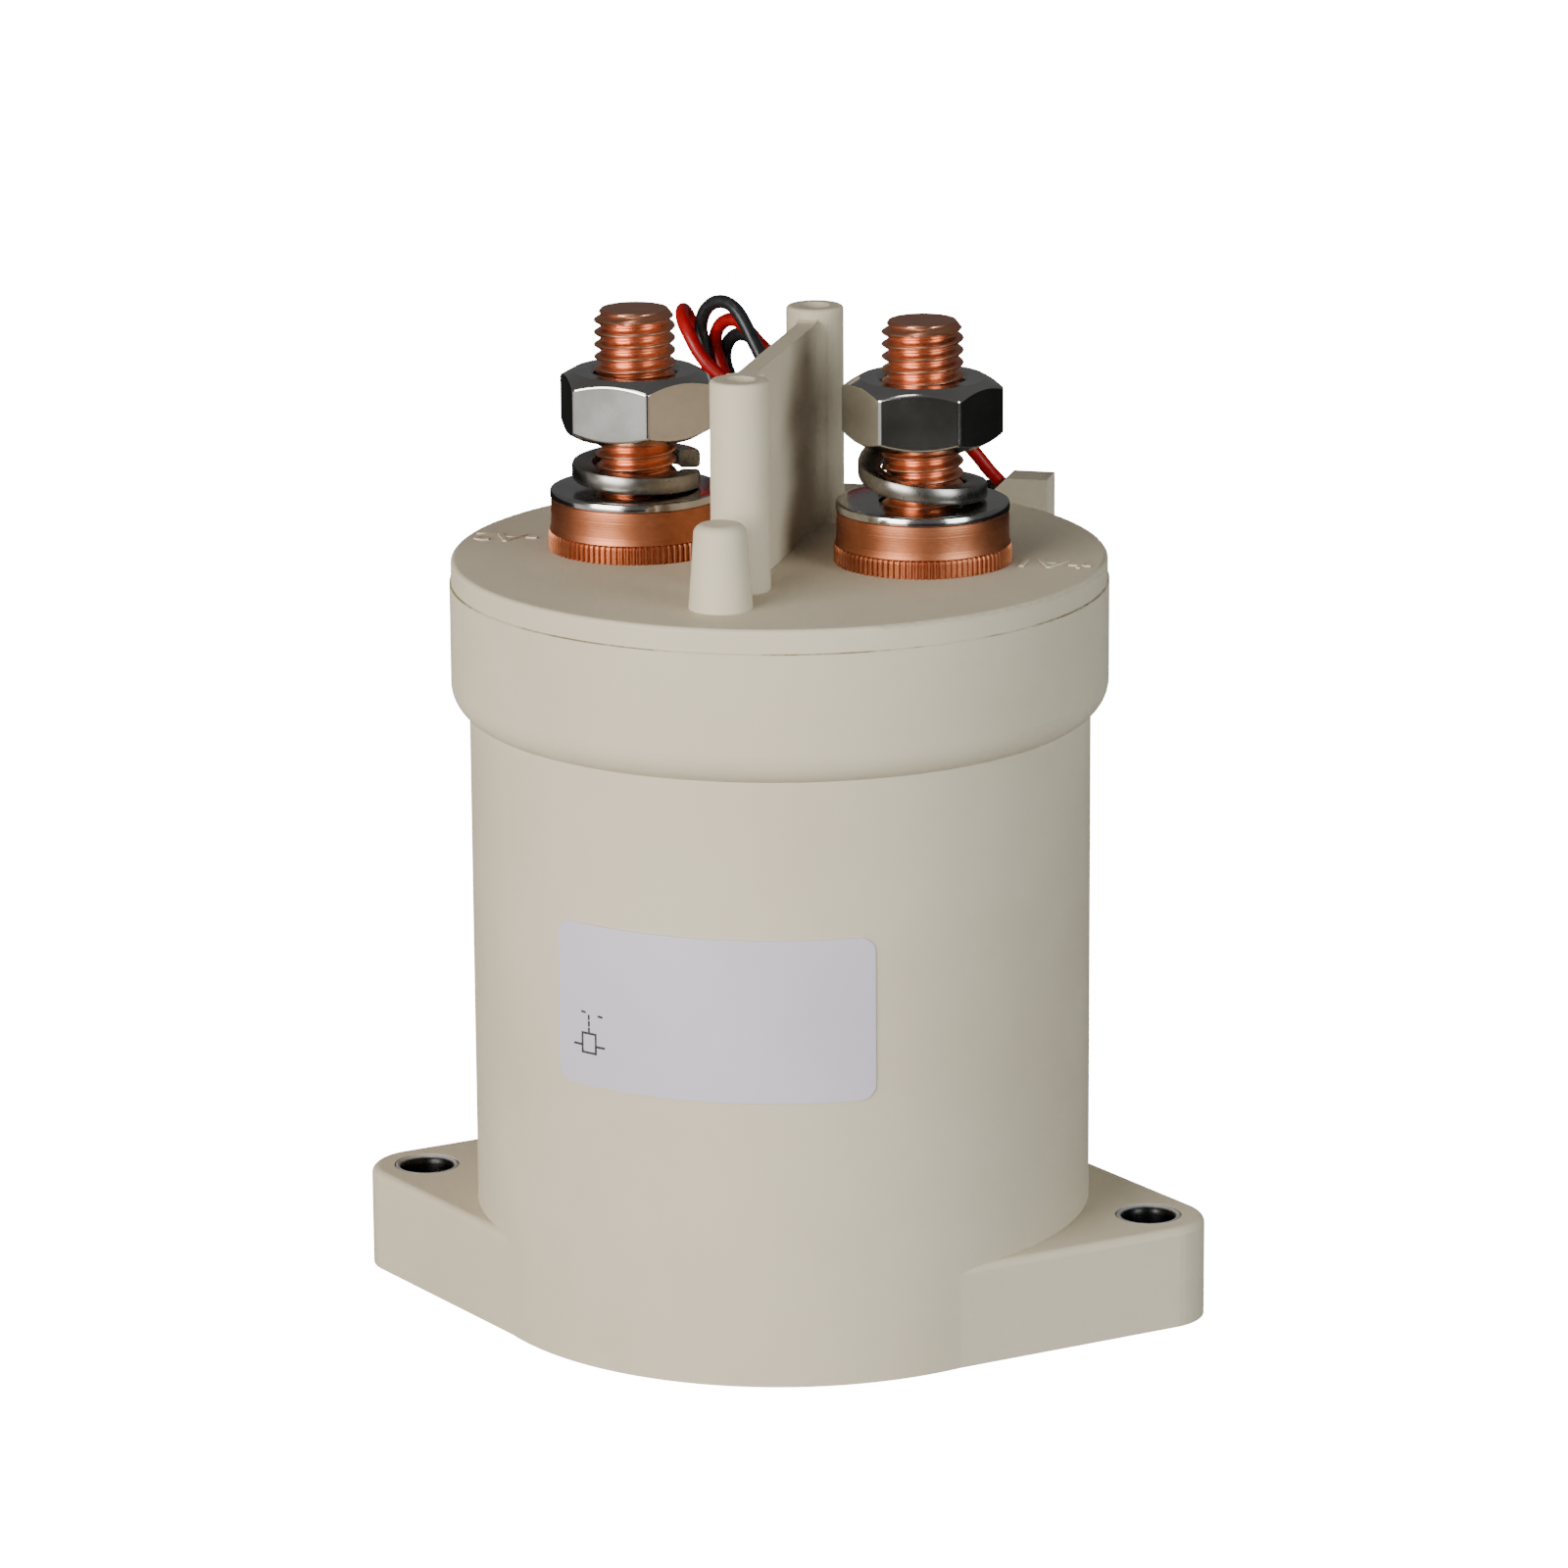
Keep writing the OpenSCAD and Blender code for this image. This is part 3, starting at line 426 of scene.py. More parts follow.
def spring_washer(bm, axis_x, split, rise, late):
    """Square wire with rounded corners that rises clockwise from the cut, evenly or late."""
    w, h, c = WIRE_W / 2, WIRE_H / 2, WIRE_CORNER
    outside = [(w - c, -h), (w - c * 0.3, -h + c * 0.3), (w, -h + c),
               (w, h - c), (w - c * 0.3, h - c * 0.3), (w - c, h)]
    section = outside + [(-x, z) for x, z in reversed(outside)]
    turn = Matrix.Rotation(split - CUT, 3, "Z")
    verts = [bm.verts.new(turn @ Vector((COIL_R + x, 0, WASHER_TOP + h + z))) for x, z in section]
    edges = [bm.edges.new(pair) for pair in zip(verts, verts[1:] + verts[:1])]
    bmesh.ops.spin(bm, geom=verts + edges, cent=(0, 0, 0), axis=(0, 0, 1), angle=-(math.tau - 2 * CUT),
                   steps=COIL_STEPS)
    closed_up(bm)
    for v in bm.verts:
        turned = (split - math.atan2(v.co.y, v.co.x)) % math.tau / math.tau
        v.co.z += rise * turned ** late
    bmesh.ops.translate(bm, vec=(axis_x, 0, 0), verts=bm.verts)


washers, springs = [], []
for side, name, split, rise, late in ((-1, "left", 14, 2.2, 1), (1, "right", 150, 4.4, 3.1)):
    bm = bmesh.new()
    flat_washer(bm, side * TERMINAL_X)
    washer = finished(f"{name}_plain_washer", bm)
    washers.append(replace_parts(washer, f"{name}_flat_washer"))
    bm = bmesh.new()
    spring_washer(bm, side * TERMINAL_X, math.radians(split), rise, late)
    spring = finished(f"{name}_split_washer", bm)
    springs.append(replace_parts(spring, f"{name}_spring_washer"))

# %% [markdown]
# ## Nuts
# A nut is a hexagon with its corners turned off on a lathe. It is made the same way: a hexagonal
# prism with slightly rounded corners, and a spun ring with the chamfers and the bore, of which a
# Boolean modifier keeps what they have in common. That gives the curved edges of the flats, and a
# narrow bevel lets those edges catch the light.

# %% Hexagon nuts
NUT_H, NUT_AF = 8.0, 17.0
CORNER_BEVEL, RIM_BEVEL = 0.4, 0.2
FACE_R, BLANK_R = NUT_AF / 2 - 0.95, 10.2
BORE_R, MOUTH_R = 5.05, 5.55
LEFT_NUT_Z, LEFT_NUT_TURN = 107.4, -6.3
RIGHT_NUT_Z, RIGHT_NUT_TURN = 108.0, 9.7


def loose_object(name, bm):
    """A helper object for a modifier, not a piece."""
    bmesh.ops.recalc_face_normals(bm, faces=bm.faces)
    mesh = bpy.data.meshes.new(name)
    bm.to_mesh(mesh)
    bm.free()
    made = bpy.data.objects.new(name, mesh)
    bpy.context.scene.collection.objects.link(made)
    return made


def hexagon_nut(axis_x, foot, turn):
    """The nut as a bmesh in millimetres."""
    prism = bmesh.new()
    base = bmesh.ops.create_circle(prism, cap_ends=True, segments=6,
                                   radius=NUT_AF / 2 / math.cos(math.pi / 6))
    drawn = bmesh.ops.extrude_face_region(prism, geom=base["verts"][0].link_faces[:])["geom"]
    bmesh.ops.translate(prism, vec=(0, 0, NUT_H), verts=points_in(drawn))
    rounded(prism, [e for e in prism.edges if abs(e.verts[0].co.z - e.verts[1].co.z) > 1], CORNER_BEVEL, 4)
    ring = bmesh.new()
    drop = (BLANK_R - FACE_R) * math.tan(math.radians(30))
    spun(ring, [(BORE_R, MOUTH_R - BORE_R), (MOUTH_R, 0), (FACE_R, 0), (BLANK_R, drop),
                (BLANK_R, NUT_H - drop), (FACE_R, NUT_H), (MOUTH_R, NUT_H),
                (BORE_R, NUT_H - (MOUTH_R - BORE_R))], steps=144)
    blank, lathe = loose_object("nut_blank", prism), loose_object("nut_lathe", ring)
    cut = blank.modifiers.new("corners off", "BOOLEAN")
    cut.operation, cut.solver, cut.object = "INTERSECT", "EXACT", lathe
    shaped = blank.evaluated_get(bpy.context.evaluated_depsgraph_get()).to_mesh()
    bm = bmesh.new()
    bm.from_mesh(shaped)
    for helper in (blank, lathe):
        bpy.data.objects.remove(helper)
    bm.normal_update()
    rims = [e for e in bm.edges if e.is_manifold and 40 < math.degrees(e.calc_face_angle()) < 75]
    rounded(bm, rims, RIM_BEVEL, 2)
    bmesh.ops.transform(bm, verts=bm.verts, matrix=Matrix.Translation((axis_x, 0, foot)) @ Matrix.Rotation(
        math.radians(turn - 90), 4, "Z"))
    return bm


bm = hexagon_nut(-TERMINAL_X, LEFT_NUT_Z, LEFT_NUT_TURN)
left_hexagon = finished("left_hexagon_nut", bm, "left_nut", sharp=5)
bm = hexagon_nut(TERMINAL_X, RIGHT_NUT_Z, RIGHT_NUT_TURN)
right_hexagon = finished("right_hexagon_nut", bm, "right_nut", sharp=5)
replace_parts(left_hexagon, "left_nut")
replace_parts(right_hexagon, "right_nut")

# %% [markdown]
# ## Springs inside
# Two compression springs work inside: one pushes the armature back down, the other presses the
# contact bridge. Their end turns are closed and ground flat. A circle is spun upwards three times,
# with a slow rise for the first turn, a fast one for the working turns and a slow one for the last
# turn, and two cutting planes grind the ends.

# %% Compression springs
RETURN_WIRE, CONTACT_WIRE = 1.2, 1.0
TURN_STEPS = 32


def compression_spring(name, node, wire, working_turns, body):
    """A coil of round wire that fills the box of its CAD node."""
    low, high = (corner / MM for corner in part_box(node))
    start = Matrix.Translation(((high.x - low.x - wire) / 2, 0, low.z))
    bm = bmesh.new()
    bmesh.ops.create_circle(bm, segments=12, radius=wire / 2,
                            matrix=start @ Matrix.Rotation(math.radians(90), 4, "X"))
    last = bm.verts[:] + bm.edges[:]
    pitch = (high.z - low.z - 2 * wire) / working_turns
    for turns, rise in ((1, wire), (working_turns, pitch), (1, wire)):
        last = bmesh.ops.spin(bm, geom=last, cent=(0, 0, 0), axis=(0, 0, 1), dvec=(0, 0, rise / TURN_STEPS),
                              angle=math.tau * turns, steps=TURN_STEPS * turns)["geom_last"]
    closed_up(bm)
    cut_between(bm, low.z, high.z)
    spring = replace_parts(finished(name, bm, body), node)
    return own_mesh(spring)


springs += [
    compression_spring("return_coil", "return_spring", RETURN_WIRE, 5, "root"),
    compression_spring("contact_coil", "contact_spring", CONTACT_WIRE, 3, "armature")]

# %% [markdown]
# ## Bushes and seam
# The two mounting holes are lined with steel bushes whose mouths are slightly belled. Round the
# lid runs a hair-thin line of brownish sealant, squeezed out where lid and housing were bonded.

# %% Bushes and sealant line
HOLE_X = 46.0

bushes = []
for side, name in ((-1, "left"), (1, "right")):
    bm = bmesh.new()
    spun(bm, [(3.1, 0.5), (3.5, 0), (3.85, 0), (4, 0.15), (4, 12.35), (3.9, 12.55), (3.7, 12.6),
              (3.5, 12.5), (3.25, 12.1), (3.1, 11.6)], side * HOLE_X, steps=64)
    bushes.append(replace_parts(finished(f"{name}_lining", bm), f"{name}_bush"))

bm = bmesh.new()
spun(bm, [(39.5, 90.5), (39.83, 90.4), (39.93, 90.46), (39.93, 90.6), (39.83, 90.66), (39.5, 90.6)],
     steps=192)
sealant = finished("sealant_line", bm)

# %% [markdown]
# ## Raised polarity marks
# Beside each terminal the lid carries its standard connection mark, raised by a fraction of a
# millimetre and meant to be read from the back. Text objects are made into meshes before they are
# put in place, so that their place is in the mesh like everything else.

# %% Marks on the lid
MARK_H, MARK_Y, MARK_RISE = 3.7, 0.5, 0.06


def raised_mark(name, words, middle_x, width):
    """Flat letters, stretched to the size of the mark and turned to be read from behind."""
    font = bpy.data.curves.new(name, "FONT")
    font.body, font.size, font.extrude, font.resolution_u = words, 5, 0.14, 3
    letters = bpy.data.objects.new(name, font)
    bpy.context.scene.collection.objects.link(letters)
    bm = bmesh.new()
    bm.from_mesh(letters.evaluated_get(bpy.context.evaluated_depsgraph_get()).to_mesh())
    bpy.data.objects.remove(letters)
    left, right = (pick(v.co.x for v in bm.verts) for pick in (min, max))
    foot, head = (pick(v.co.y for v in bm.verts) for pick in (min, max))
    bmesh.ops.translate(bm, vec=(-(left + right) / 2, -(foot + head) / 2, 0), verts=bm.verts)
    bmesh.ops.scale(bm, vec=(width / (right - left), MARK_H / (head - foot), 1), verts=bm.verts)
    bmesh.ops.rotate(bm, cent=(0, 0, 0), matrix=Matrix.Rotation(math.pi, 3, "Z"), verts=bm.verts)
    bmesh.ops.translate(bm, vec=(middle_x, MARK_Y, LID_TOP + MARK_RISE), verts=bm.verts)
    return finished(name, bm)


marks = [raised_mark("mark_a2", "-A2", -34.7, 7.9), raised_mark("mark_a1", "+A1", 34.1, 8.4)]

# %% [markdown]
# ## Symbol on the label
# The label of such a relay shows the standard drawing of a relay: a coil, drawn as a box, with a
# lead, and a dashed line to the contact that it moves. The lines are drawn flat, as the width along
# the label and the height, and then wrapped round the housing by turning width into an angle.

# %% Relay symbol
LABEL_R = -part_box("label")[0].y / MM
LINE_W, INK_T, INK_SINK = 0.28, 0.03, 0.01


def drawn_line(bm, start, stop):
    """One line of the drawing as a thin strip."""
    start, stop = Vector(start), Vector(stop)
    across = (stop - start).normalized().orthogonal() * LINE_W / 2
    along = (stop - start).normalized() * LINE_W / 2
    bm.faces.new([bm.verts.new((*p, 0)) for p in (start - across - along, stop - across + along,
                                                   stop + across + along, start + across - along)])


bm = bmesh.new()
for start, stop in (((-16.6, 44.6), (-13.7, 44.3)), ((-15.6, 44.2), (-15.6, 43.8)),
                    ((-15.6, 43.4), (-15.6, 43)), ((-15.6, 42.6), (-15.6, 42.2)),
                    ((-16.6, 42), (-14.6, 42)), ((-14.6, 42), (-14.6, 39.6)),
                    ((-14.6, 39.6), (-16.6, 39.6)), ((-16.6, 39.6), (-16.6, 42)),
                    ((-17.8, 40.5), (-16.6, 40.5)), ((-14.6, 40.5), (-13.4, 40.5))):
    drawn_line(bm, start, stop)
drawn = bmesh.ops.extrude_face_region(bm, geom=bm.faces[:])["geom"]
bmesh.ops.translate(bm, vec=(0, 0, INK_T), verts=points_in(drawn))
for v in bm.verts:
    angle, out = v.co.x / LABEL_R, LABEL_R - INK_SINK + v.co.z
    v.co = Vector((out * math.sin(angle), -out * math.cos(angle), v.co.y))
symbol = finished("relay_symbol", bm)

# %% [markdown]
# ## Shared shader effects
# Effects that come back in several finishes are node groups with named sockets. All of them turn
# Object coordinates into millimetres first. Moulded grain is the fine skin of a plastic
# part with a slow drift in tone. Turned rings are the lines a cutting tool leaves, which follow the
# height on a wall and the radius on a flat face. Handling gives the soft patches of touched metal.
# The last group is a mask that rises between two heights; finishes use it for painted light and
# painted shade, lighter above and darker below.


# %% Helpers for node groups
def effect_group(name, inputs, outputs):
    """An empty node group with float inputs beside its Vector, and float outputs."""
    group = bpy.data.node_groups.new(name, "ShaderNodeTree")
    group.interface.new_socket(name="Vector", in_out="INPUT", socket_type="NodeSocketVector")
    for label, value in inputs.items():
        socket = group.interface.new_socket(name=label, in_out="INPUT", socket_type="NodeSocketFloat")
        socket.default_value = value
    for label in outputs:
        group.interface.new_socket(name=label, in_out="OUTPUT", socket_type="NodeSocketFloat")
    start, end = group.nodes.new("NodeGroupInput"), group.nodes.new("NodeGroupOutput")
    scaled = group.nodes.new("ShaderNodeVectorMath")
    scaled.operation = "SCALE"
    scaled.inputs["Scale"].default_value = 1 / MM
    group.links.new(start.outputs["Vector"], scaled.inputs[0])
    return group, start, end, scaled.outputs[0]


def noise(tree, vector, scale, detail=3.0, rough=0.55):
    node = tree.nodes.new("ShaderNodeTexNoise")
    node.inputs["Detail"].default_value, node.inputs["Roughness"].default_value = detail, rough
    if isinstance(scale, (int, float)):
        node.inputs["Scale"].default_value = scale
    else:
        tree.links.new(scale, node.inputs["Scale"])
    tree.links.new(vector, node.inputs["Vector"])
    return node.outputs[0]


def math_node(tree, operation, a, b=None):
    node = tree.nodes.new("ShaderNodeMath")
    node.operation = operation
    for socket, value in zip(node.inputs, (a, b)):
        if isinstance(value, (int, float)):
            socket.default_value = value
        elif value is not None:
            tree.links.new(value, socket)
    return node.outputs[0]


# %% Moulded grain and handling
grain, start, end, mm_vector = effect_group("moulded grain", {"Grain per mm": 2.5}, ("Tone", "Height"))
grain.links.new(noise(grain, mm_vector, 0.035, 4, 0.6), end.inputs["Tone"])
grain.links.new(noise(grain, mm_vector, start.outputs["Grain per mm"], 4, 0.65), end.inputs["Height"])

handling, start, end, mm_vector = effect_group("handling", {"Patches per mm": 0.15}, ("Patches", "Specks"))
patches = noise(handling, mm_vector, start.outputs["Patches per mm"], 5, 0.6)
handling.links.new(patches, end.inputs["Patches"])
handling.links.new(noise(handling, mm_vector, 4.0, 2, 0.5), end.inputs["Specks"])

# %% Height mask for painted light and shade
# A mask from 0 to 1 between two heights, used to paint a surface lighter above and darker below as painted
# light and shade.
painted_light_step, start, end, mm_vector = effect_group(
    "rubbed top", {"From height": 12.25, "To height": 12.5}, ("Painted_light",))
parts, spread = painted_light_step.nodes.new("ShaderNodeSeparateXYZ"), painted_light_step.nodes.new("ShaderNodeMapRange")
painted_light_step.links.new(mm_vector, parts.inputs[0])
painted_light_step.links.new(parts.outputs["Z"], spread.inputs["Value"])
painted_light_step.links.new(start.outputs["From height"], spread.inputs["From Min"])
painted_light_step.links.new(start.outputs["To height"], spread.inputs["From Max"])
painted_light_step.links.new(spread.outputs["Result"], end.inputs["Painted_light"])

# %% Turned rings
HEIGHT_SHARE, BAND_SHARE = 1.37, 0.12
rings, start, end, mm_vector = effect_group(
    "turned rings", {"Axis from middle": TERMINAL_X, "Lines per mm": 6.0}, ("Lines", "Bands"))
parts = rings.nodes.new("ShaderNodeSeparateXYZ")
rings.links.new(mm_vector, parts.inputs[0])
from_middle = math_node(rings, "ABSOLUTE", parts.outputs["X"])
across = math_node(rings, "SUBTRACT", from_middle, start.outputs["Axis from middle"])
across_squared = math_node(rings, "MULTIPLY", across, across)
deep_squared = math_node(rings, "MULTIPLY", parts.outputs["Y"], parts.outputs["Y"])
radius = math_node(rings, "SQRT", math_node(rings, "ADD", across_squared, deep_squared))
along = math_node(rings, "ADD", radius, math_node(rings, "MULTIPLY", parts.outputs["Z"], HEIGHT_SHARE))
for label, share in (("Lines", 1.0), ("Bands", BAND_SHARE)):
    node = rings.nodes.new("ShaderNodeTexNoise")
    node.noise_dimensions = "1D"
    node.inputs["Detail"].default_value = 2
    rings.links.new(along, node.inputs["W"])
    scale = math_node(rings, "MULTIPLY", start.outputs["Lines per mm"], share)
    rings.links.new(scale, node.inputs["Scale"])
    rings.links.new(node.outputs[0], end.inputs[label])
print("node groups:", [g.name for g in bpy.data.node_groups])

# %% [markdown]
# ## Finishes
# A finish is a Principled shader fed by those groups. What is the same all over a surface is typed
# into the shader's own sockets. What varies comes from a group: the tone of the colour, the
# roughness, and the height that a Bump node turns into tiny dents.


# %% Helper for finishes
class Finish:
    """A material with a Principled shader and Object coordinates."""

    def __init__(self, name, **sockets):
        self.material = bpy.data.materials.new(name)
        self.material.use_nodes = True
        self.tree = self.material.node_tree
        self.shader = self.tree.nodes["Principled BSDF"]
        self.place = self.tree.nodes.new("ShaderNodeTexCoord").outputs["Object"]
        for label, value in sockets.items():
            self.shader.inputs[label.replace("_", " ")].default_value = value

    def effect(self, group, **inputs):
        """Places a group and returns its outputs."""
        node = self.tree.nodes.new("ShaderNodeGroup")
        node.node_tree = group
        self.tree.links.new(self.place, node.inputs["Vector"])
        for label, value in inputs.items():
            node.inputs[label.replace("_", " ")].default_value = value
        return node.outputs

    def blend(self, mask, first, second, socket="Base Color", low=0.35, high=0.65):
        """Mixes two colours or two values by a mask and feeds a socket of the shader."""
        spread = self.tree.nodes.new("ShaderNodeMapRange")
        spread.inputs["From Min"].default_value, spread.inputs["From Max"].default_value = low, high
        self.tree.links.new(mask, spread.inputs["Value"])
        if isinstance(first, tuple):
            mix = self.tree.nodes.new("ShaderNodeMix")
            mix.data_type = "RGBA"
            mix.inputs[6].default_value, mix.inputs[7].default_value = (*first, 1), (*second, 1)
            self.tree.links.new(spread.outputs["Result"], mix.inputs[0])
            self.tree.links.new(mix.outputs[2], self.shader.inputs[socket])
        else:
            spread.inputs["To Min"].default_value, spread.inputs["To Max"].default_value = first, second
            self.tree.links.new(spread.outputs["Result"], self.shader.inputs[socket])
        return self

    def dents(self, height, strength, depth_mm):
        """Turns a height into the shader's normal."""
        bump = self.tree.nodes.new("ShaderNodeBump")
        bump.inputs["Strength"].default_value = strength
        bump.inputs["Distance"].default_value = depth_mm * MM
        self.tree.links.new(height, bump.inputs["Height"])
        self.tree.links.new(bump.outputs["Normal"], self.shader.inputs["Normal"])
        return self

    def wear(self, *pieces):
        """Gives the finish to pieces or to CAD nodes by name."""
        for piece in pieces:
            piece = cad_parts[piece] if isinstance(piece, str) else piece
            piece.data.materials.clear()
            piece.data.materials.append(self.material)


# %% Housing plastic
plastic = Finish("housing plastic", Specular_IOR_Level=0.35)
skin = plastic.effect(grain, Grain_per_mm=3.0)
plastic.blend(skin["Tone"], (0.565, 0.475, 0.335), (0.605, 0.515, 0.372))
plastic.blend(skin["Tone"], 0.56, 0.64, "Roughness").dents(skin["Height"], 0.25, 0.03)
plastic.wear("housing", "lid", *marks)

seal = Finish("sealant", Specular_IOR_Level=0.4)
skin = seal.effect(grain, Grain_per_mm=0.12)
seal.blend(skin["Height"], (0.22, 0.165, 0.085), (0.5, 0.445, 0.35), low=0.42, high=0.58)
seal.blend(skin["Tone"], 0.45, 0.6, "Roughness")
seal.wear(sealant)

# %% Turned copper
copper = Finish("turned copper", Metallic=1.0)
lathe = copper.effect(rings, Lines_per_mm=3.0)
touch = copper.effect(handling, Patches_per_mm=0.2)
bright = copper.effect(painted_light_step, From_height=99.6, To_height=100.4)
# Painted light: above the pad the stud is painted a lighter copper as a painted highlight, and the pad
# below is painted darker as painted shade; the handling patches mixed in are random tone.
tone = math_node(copper.tree, "ADD", math_node(copper.tree, "MULTIPLY", touch["Patches"], 0.4),
                 math_node(copper.tree, "MULTIPLY", bright["Painted_light"], 0.6))
copper.blend(tone, (0.36, 0.112, 0.044), (0.82, 0.36, 0.21), low=0.1, high=0.9)
dull = math_node(copper.tree, "SUBTRACT", lathe["Lines"], bright["Painted_light"])
copper.blend(dull, 0.27, 0.46, "Roughness", low=-0.8, high=0.8).dents(lathe["Lines"], 0.7, 0.03)
copper.wear(*terminals, "contact_bridge")

# %% Plated steels
steel = Finish("bright steel", Metallic=1.0)
lathe = steel.effect(rings, Lines_per_mm=2.0)
touch = steel.effect(handling, Patches_per_mm=0.25)
steel.blend(touch["Patches"], (0.46, 0.44, 0.41), (0.58, 0.56, 0.53))
steel.blend(lathe["Lines"], 0.12, 0.19, "Roughness")
steel.wear(*washers, "shaft", "retaining_clip")

spring_steel = Finish("spring steel", Metallic=1.0)
touch = spring_steel.effect(handling, Patches_per_mm=0.3)
spring_steel.blend(touch["Patches"], (0.23, 0.212, 0.186), (0.33, 0.307, 0.275))
spring_steel.blend(touch["Patches"], 0.25, 0.34, "Roughness").dents(touch["Specks"], 0.08, 0.01)
spring_steel.wear(*springs)

nickel = Finish("nickel plating", Metallic=1.0)
touch = nickel.effect(handling, Patches_per_mm=0.12)
nickel.blend(touch["Patches"], (0.54, 0.51, 0.475), (0.63, 0.605, 0.57))
nickel.blend(touch["Patches"], 0.09, 0.17, "Roughness").dents(touch["Specks"], 0.05, 0.005)
nickel.wear(left_hexagon, right_hexagon)

lining = Finish("dark lining", Metallic=1.0)
# Painted shade and painted highlight: below its rim the bush is painted nearly black so its hole looks
# dark, and the rim is painted light grey and less metallic as a painted highlight line.
touch, bright = lining.effect(handling, Patches_per_mm=0.4), lining.effect(painted_light_step)
lining.blend(bright["Painted_light"], (0.022, 0.021, 0.02), (0.42, 0.41, 0.39), low=0, high=1)
lining.blend(bright["Painted_light"], 1.0, 0.3, "Metallic", low=0, high=1)
lining.blend(touch["Specks"], 0.26, 0.4, "Roughness")
lining.wear(*bushes)

tin = Finish("tinned strands", Metallic=1.0)
touch = tin.effect(handling, Patches_per_mm=1.5)
tin.blend(touch["Patches"], (0.5, 0.49, 0.46), (0.66, 0.65, 0.62))
tin.blend(touch["Patches"], 0.25, 0.45, "Roughness").dents(touch["Specks"], 0.3, 0.05)
tin.wear(red_end, black_end)

# %% Films and insulation
film = Finish("label film", Specular_IOR_Level=0.45)
skin = film.effect(grain, Grain_per_mm=1.2)
film.blend(skin["Tone"], (0.55, 0.488, 0.538), (0.585, 0.523, 0.573))
film.blend(skin["Tone"], 0.32, 0.4, "Roughness").dents(skin["Height"], 0.08, 0.02)
film.wear("label")

ink = Finish("label ink", Specular_IOR_Level=0.3)
skin = ink.effect(grain, Grain_per_mm=2.0)
ink.blend(skin["Height"], (0.02, 0.02, 0.022), (0.06, 0.06, 0.065))
ink.blend(skin["Tone"], 0.5, 0.6, "Roughness")
ink.wear(symbol)

red_skin = Finish("red insulation", Specular_IOR_Level=0.3)
skin = red_skin.effect(grain, Grain_per_mm=1.0)
red_skin.blend(skin["Height"], (0.29, 0.001, 0.001), (0.35, 0.002, 0.002))
red_skin.blend(skin["Height"], 0.3, 0.42, "Roughness")
red_skin.wear(red_wire)

black_skin = Finish("black insulation", Specular_IOR_Level=0.5)
skin = black_skin.effect(grain, Grain_per_mm=1.0)
black_skin.blend(skin["Height"], (0.008, 0.008, 0.009), (0.018, 0.018, 0.019))
black_skin.blend(skin["Height"], 0.3, 0.42, "Roughness")
black_skin.wear(black_wire)

nylon = Finish("nylon band", Specular_IOR_Level=0.4)
skin = nylon.effect(grain, Grain_per_mm=4.0)
nylon.blend(skin["Tone"], (0.02, 0.02, 0.021), (0.035, 0.035, 0.036))
nylon.blend(skin["Height"], 0.4, 0.55, "Roughness").dents(skin["Height"], 0.2, 0.03)
nylon.wear(tie)

# %% [markdown]
# The pieces inside the housing are hidden, but they belong to the part and are seen when it is
# taken apart, so they get the finishes that such pieces have: fired ceramic round the contacts,
# plated magnets and iron, a nylon bobbin, and a winding on which each turn of wire shows.

# %% Inner finishes
ceramic = Finish("arc chamber ceramic", Specular_IOR_Level=0.4)
skin = ceramic.effect(grain, Grain_per_mm=5.0)
ceramic.blend(skin["Tone"], (0.68, 0.64, 0.56), (0.76, 0.73, 0.66))
ceramic.blend(skin["Height"], 0.5, 0.7, "Roughness").dents(skin["Height"], 0.3, 0.03)
ceramic.wear("arc_chamber", "chamber_base")

iron = Finish("plated iron", Metallic=1.0)
lathe = iron.effect(rings, Axis_from_middle=0.0, Lines_per_mm=4.0)
touch = iron.effect(handling)
iron.blend(touch["Patches"], (0.40, 0.40, 0.41), (0.52, 0.52, 0.53))
iron.blend(lathe["Bands"], 0.3, 0.5, "Roughness").dents(lathe["Lines"], 0.25, 0.02)
iron.wear("moving_core", "fixed_core", "core_sleeve", "yoke_cup", "pole_plate")

magnet = Finish("magnet plating", Metallic=1.0)
touch = magnet.effect(handling, Patches_per_mm=0.3)
magnet.blend(touch["Patches"], (0.38, 0.38, 0.40), (0.5, 0.5, 0.52))
magnet.blend(touch["Specks"], 0.25, 0.4, "Roughness")
magnet.wear("front_magnet", "rear_magnet")

bobbin = Finish("bobbin nylon", Specular_IOR_Level=0.4)
skin = bobbin.effect(grain, Grain_per_mm=3.0)
bobbin.blend(skin["Tone"], (0.012, 0.012, 0.012), (0.03, 0.03, 0.03))
bobbin.blend(skin["Height"], 0.4, 0.6, "Roughness").dents(skin["Height"], 0.3, 0.03)
bobbin.wear("bobbin")

winding = Finish("enamelled winding", Metallic=1.0, Coat_Weight=0.6)
lathe = winding.effect(rings, Axis_from_middle=0.0, Lines_per_mm=2.5)
winding.blend(lathe["Lines"], (0.22, 0.06, 0.02), (0.52, 0.2, 0.08))
winding.blend(lathe["Bands"], 0.3, 0.45, "Roughness").dents(lathe["Lines"], 0.8, 0.15)
winding.wear("coil_winding")
print("finishes:", len(bpy.data.materials))

# %% [markdown]
# ## Stage
# The contactor stands on a pale floor that melts into a white background. The room is dim, because
# bright metal needs something dark to reflect, so floor and sky are white to the camera only. Two
# softboxes, a strong one at the front left and a weaker, slightly cool one on the right, model the
# round body. A small light overhead lifts the top faces, and a low pale card at the left gives the
# metal its long soft reflection. A low light behind the contactor keeps its back readable and isn't
# mirrored in the metal.

# %% Floor and room
WHITE, ROOM_LIGHT = 16.3, 0.125
FLOOR_W, FLOOR_GAP = 6.0, 0.0002


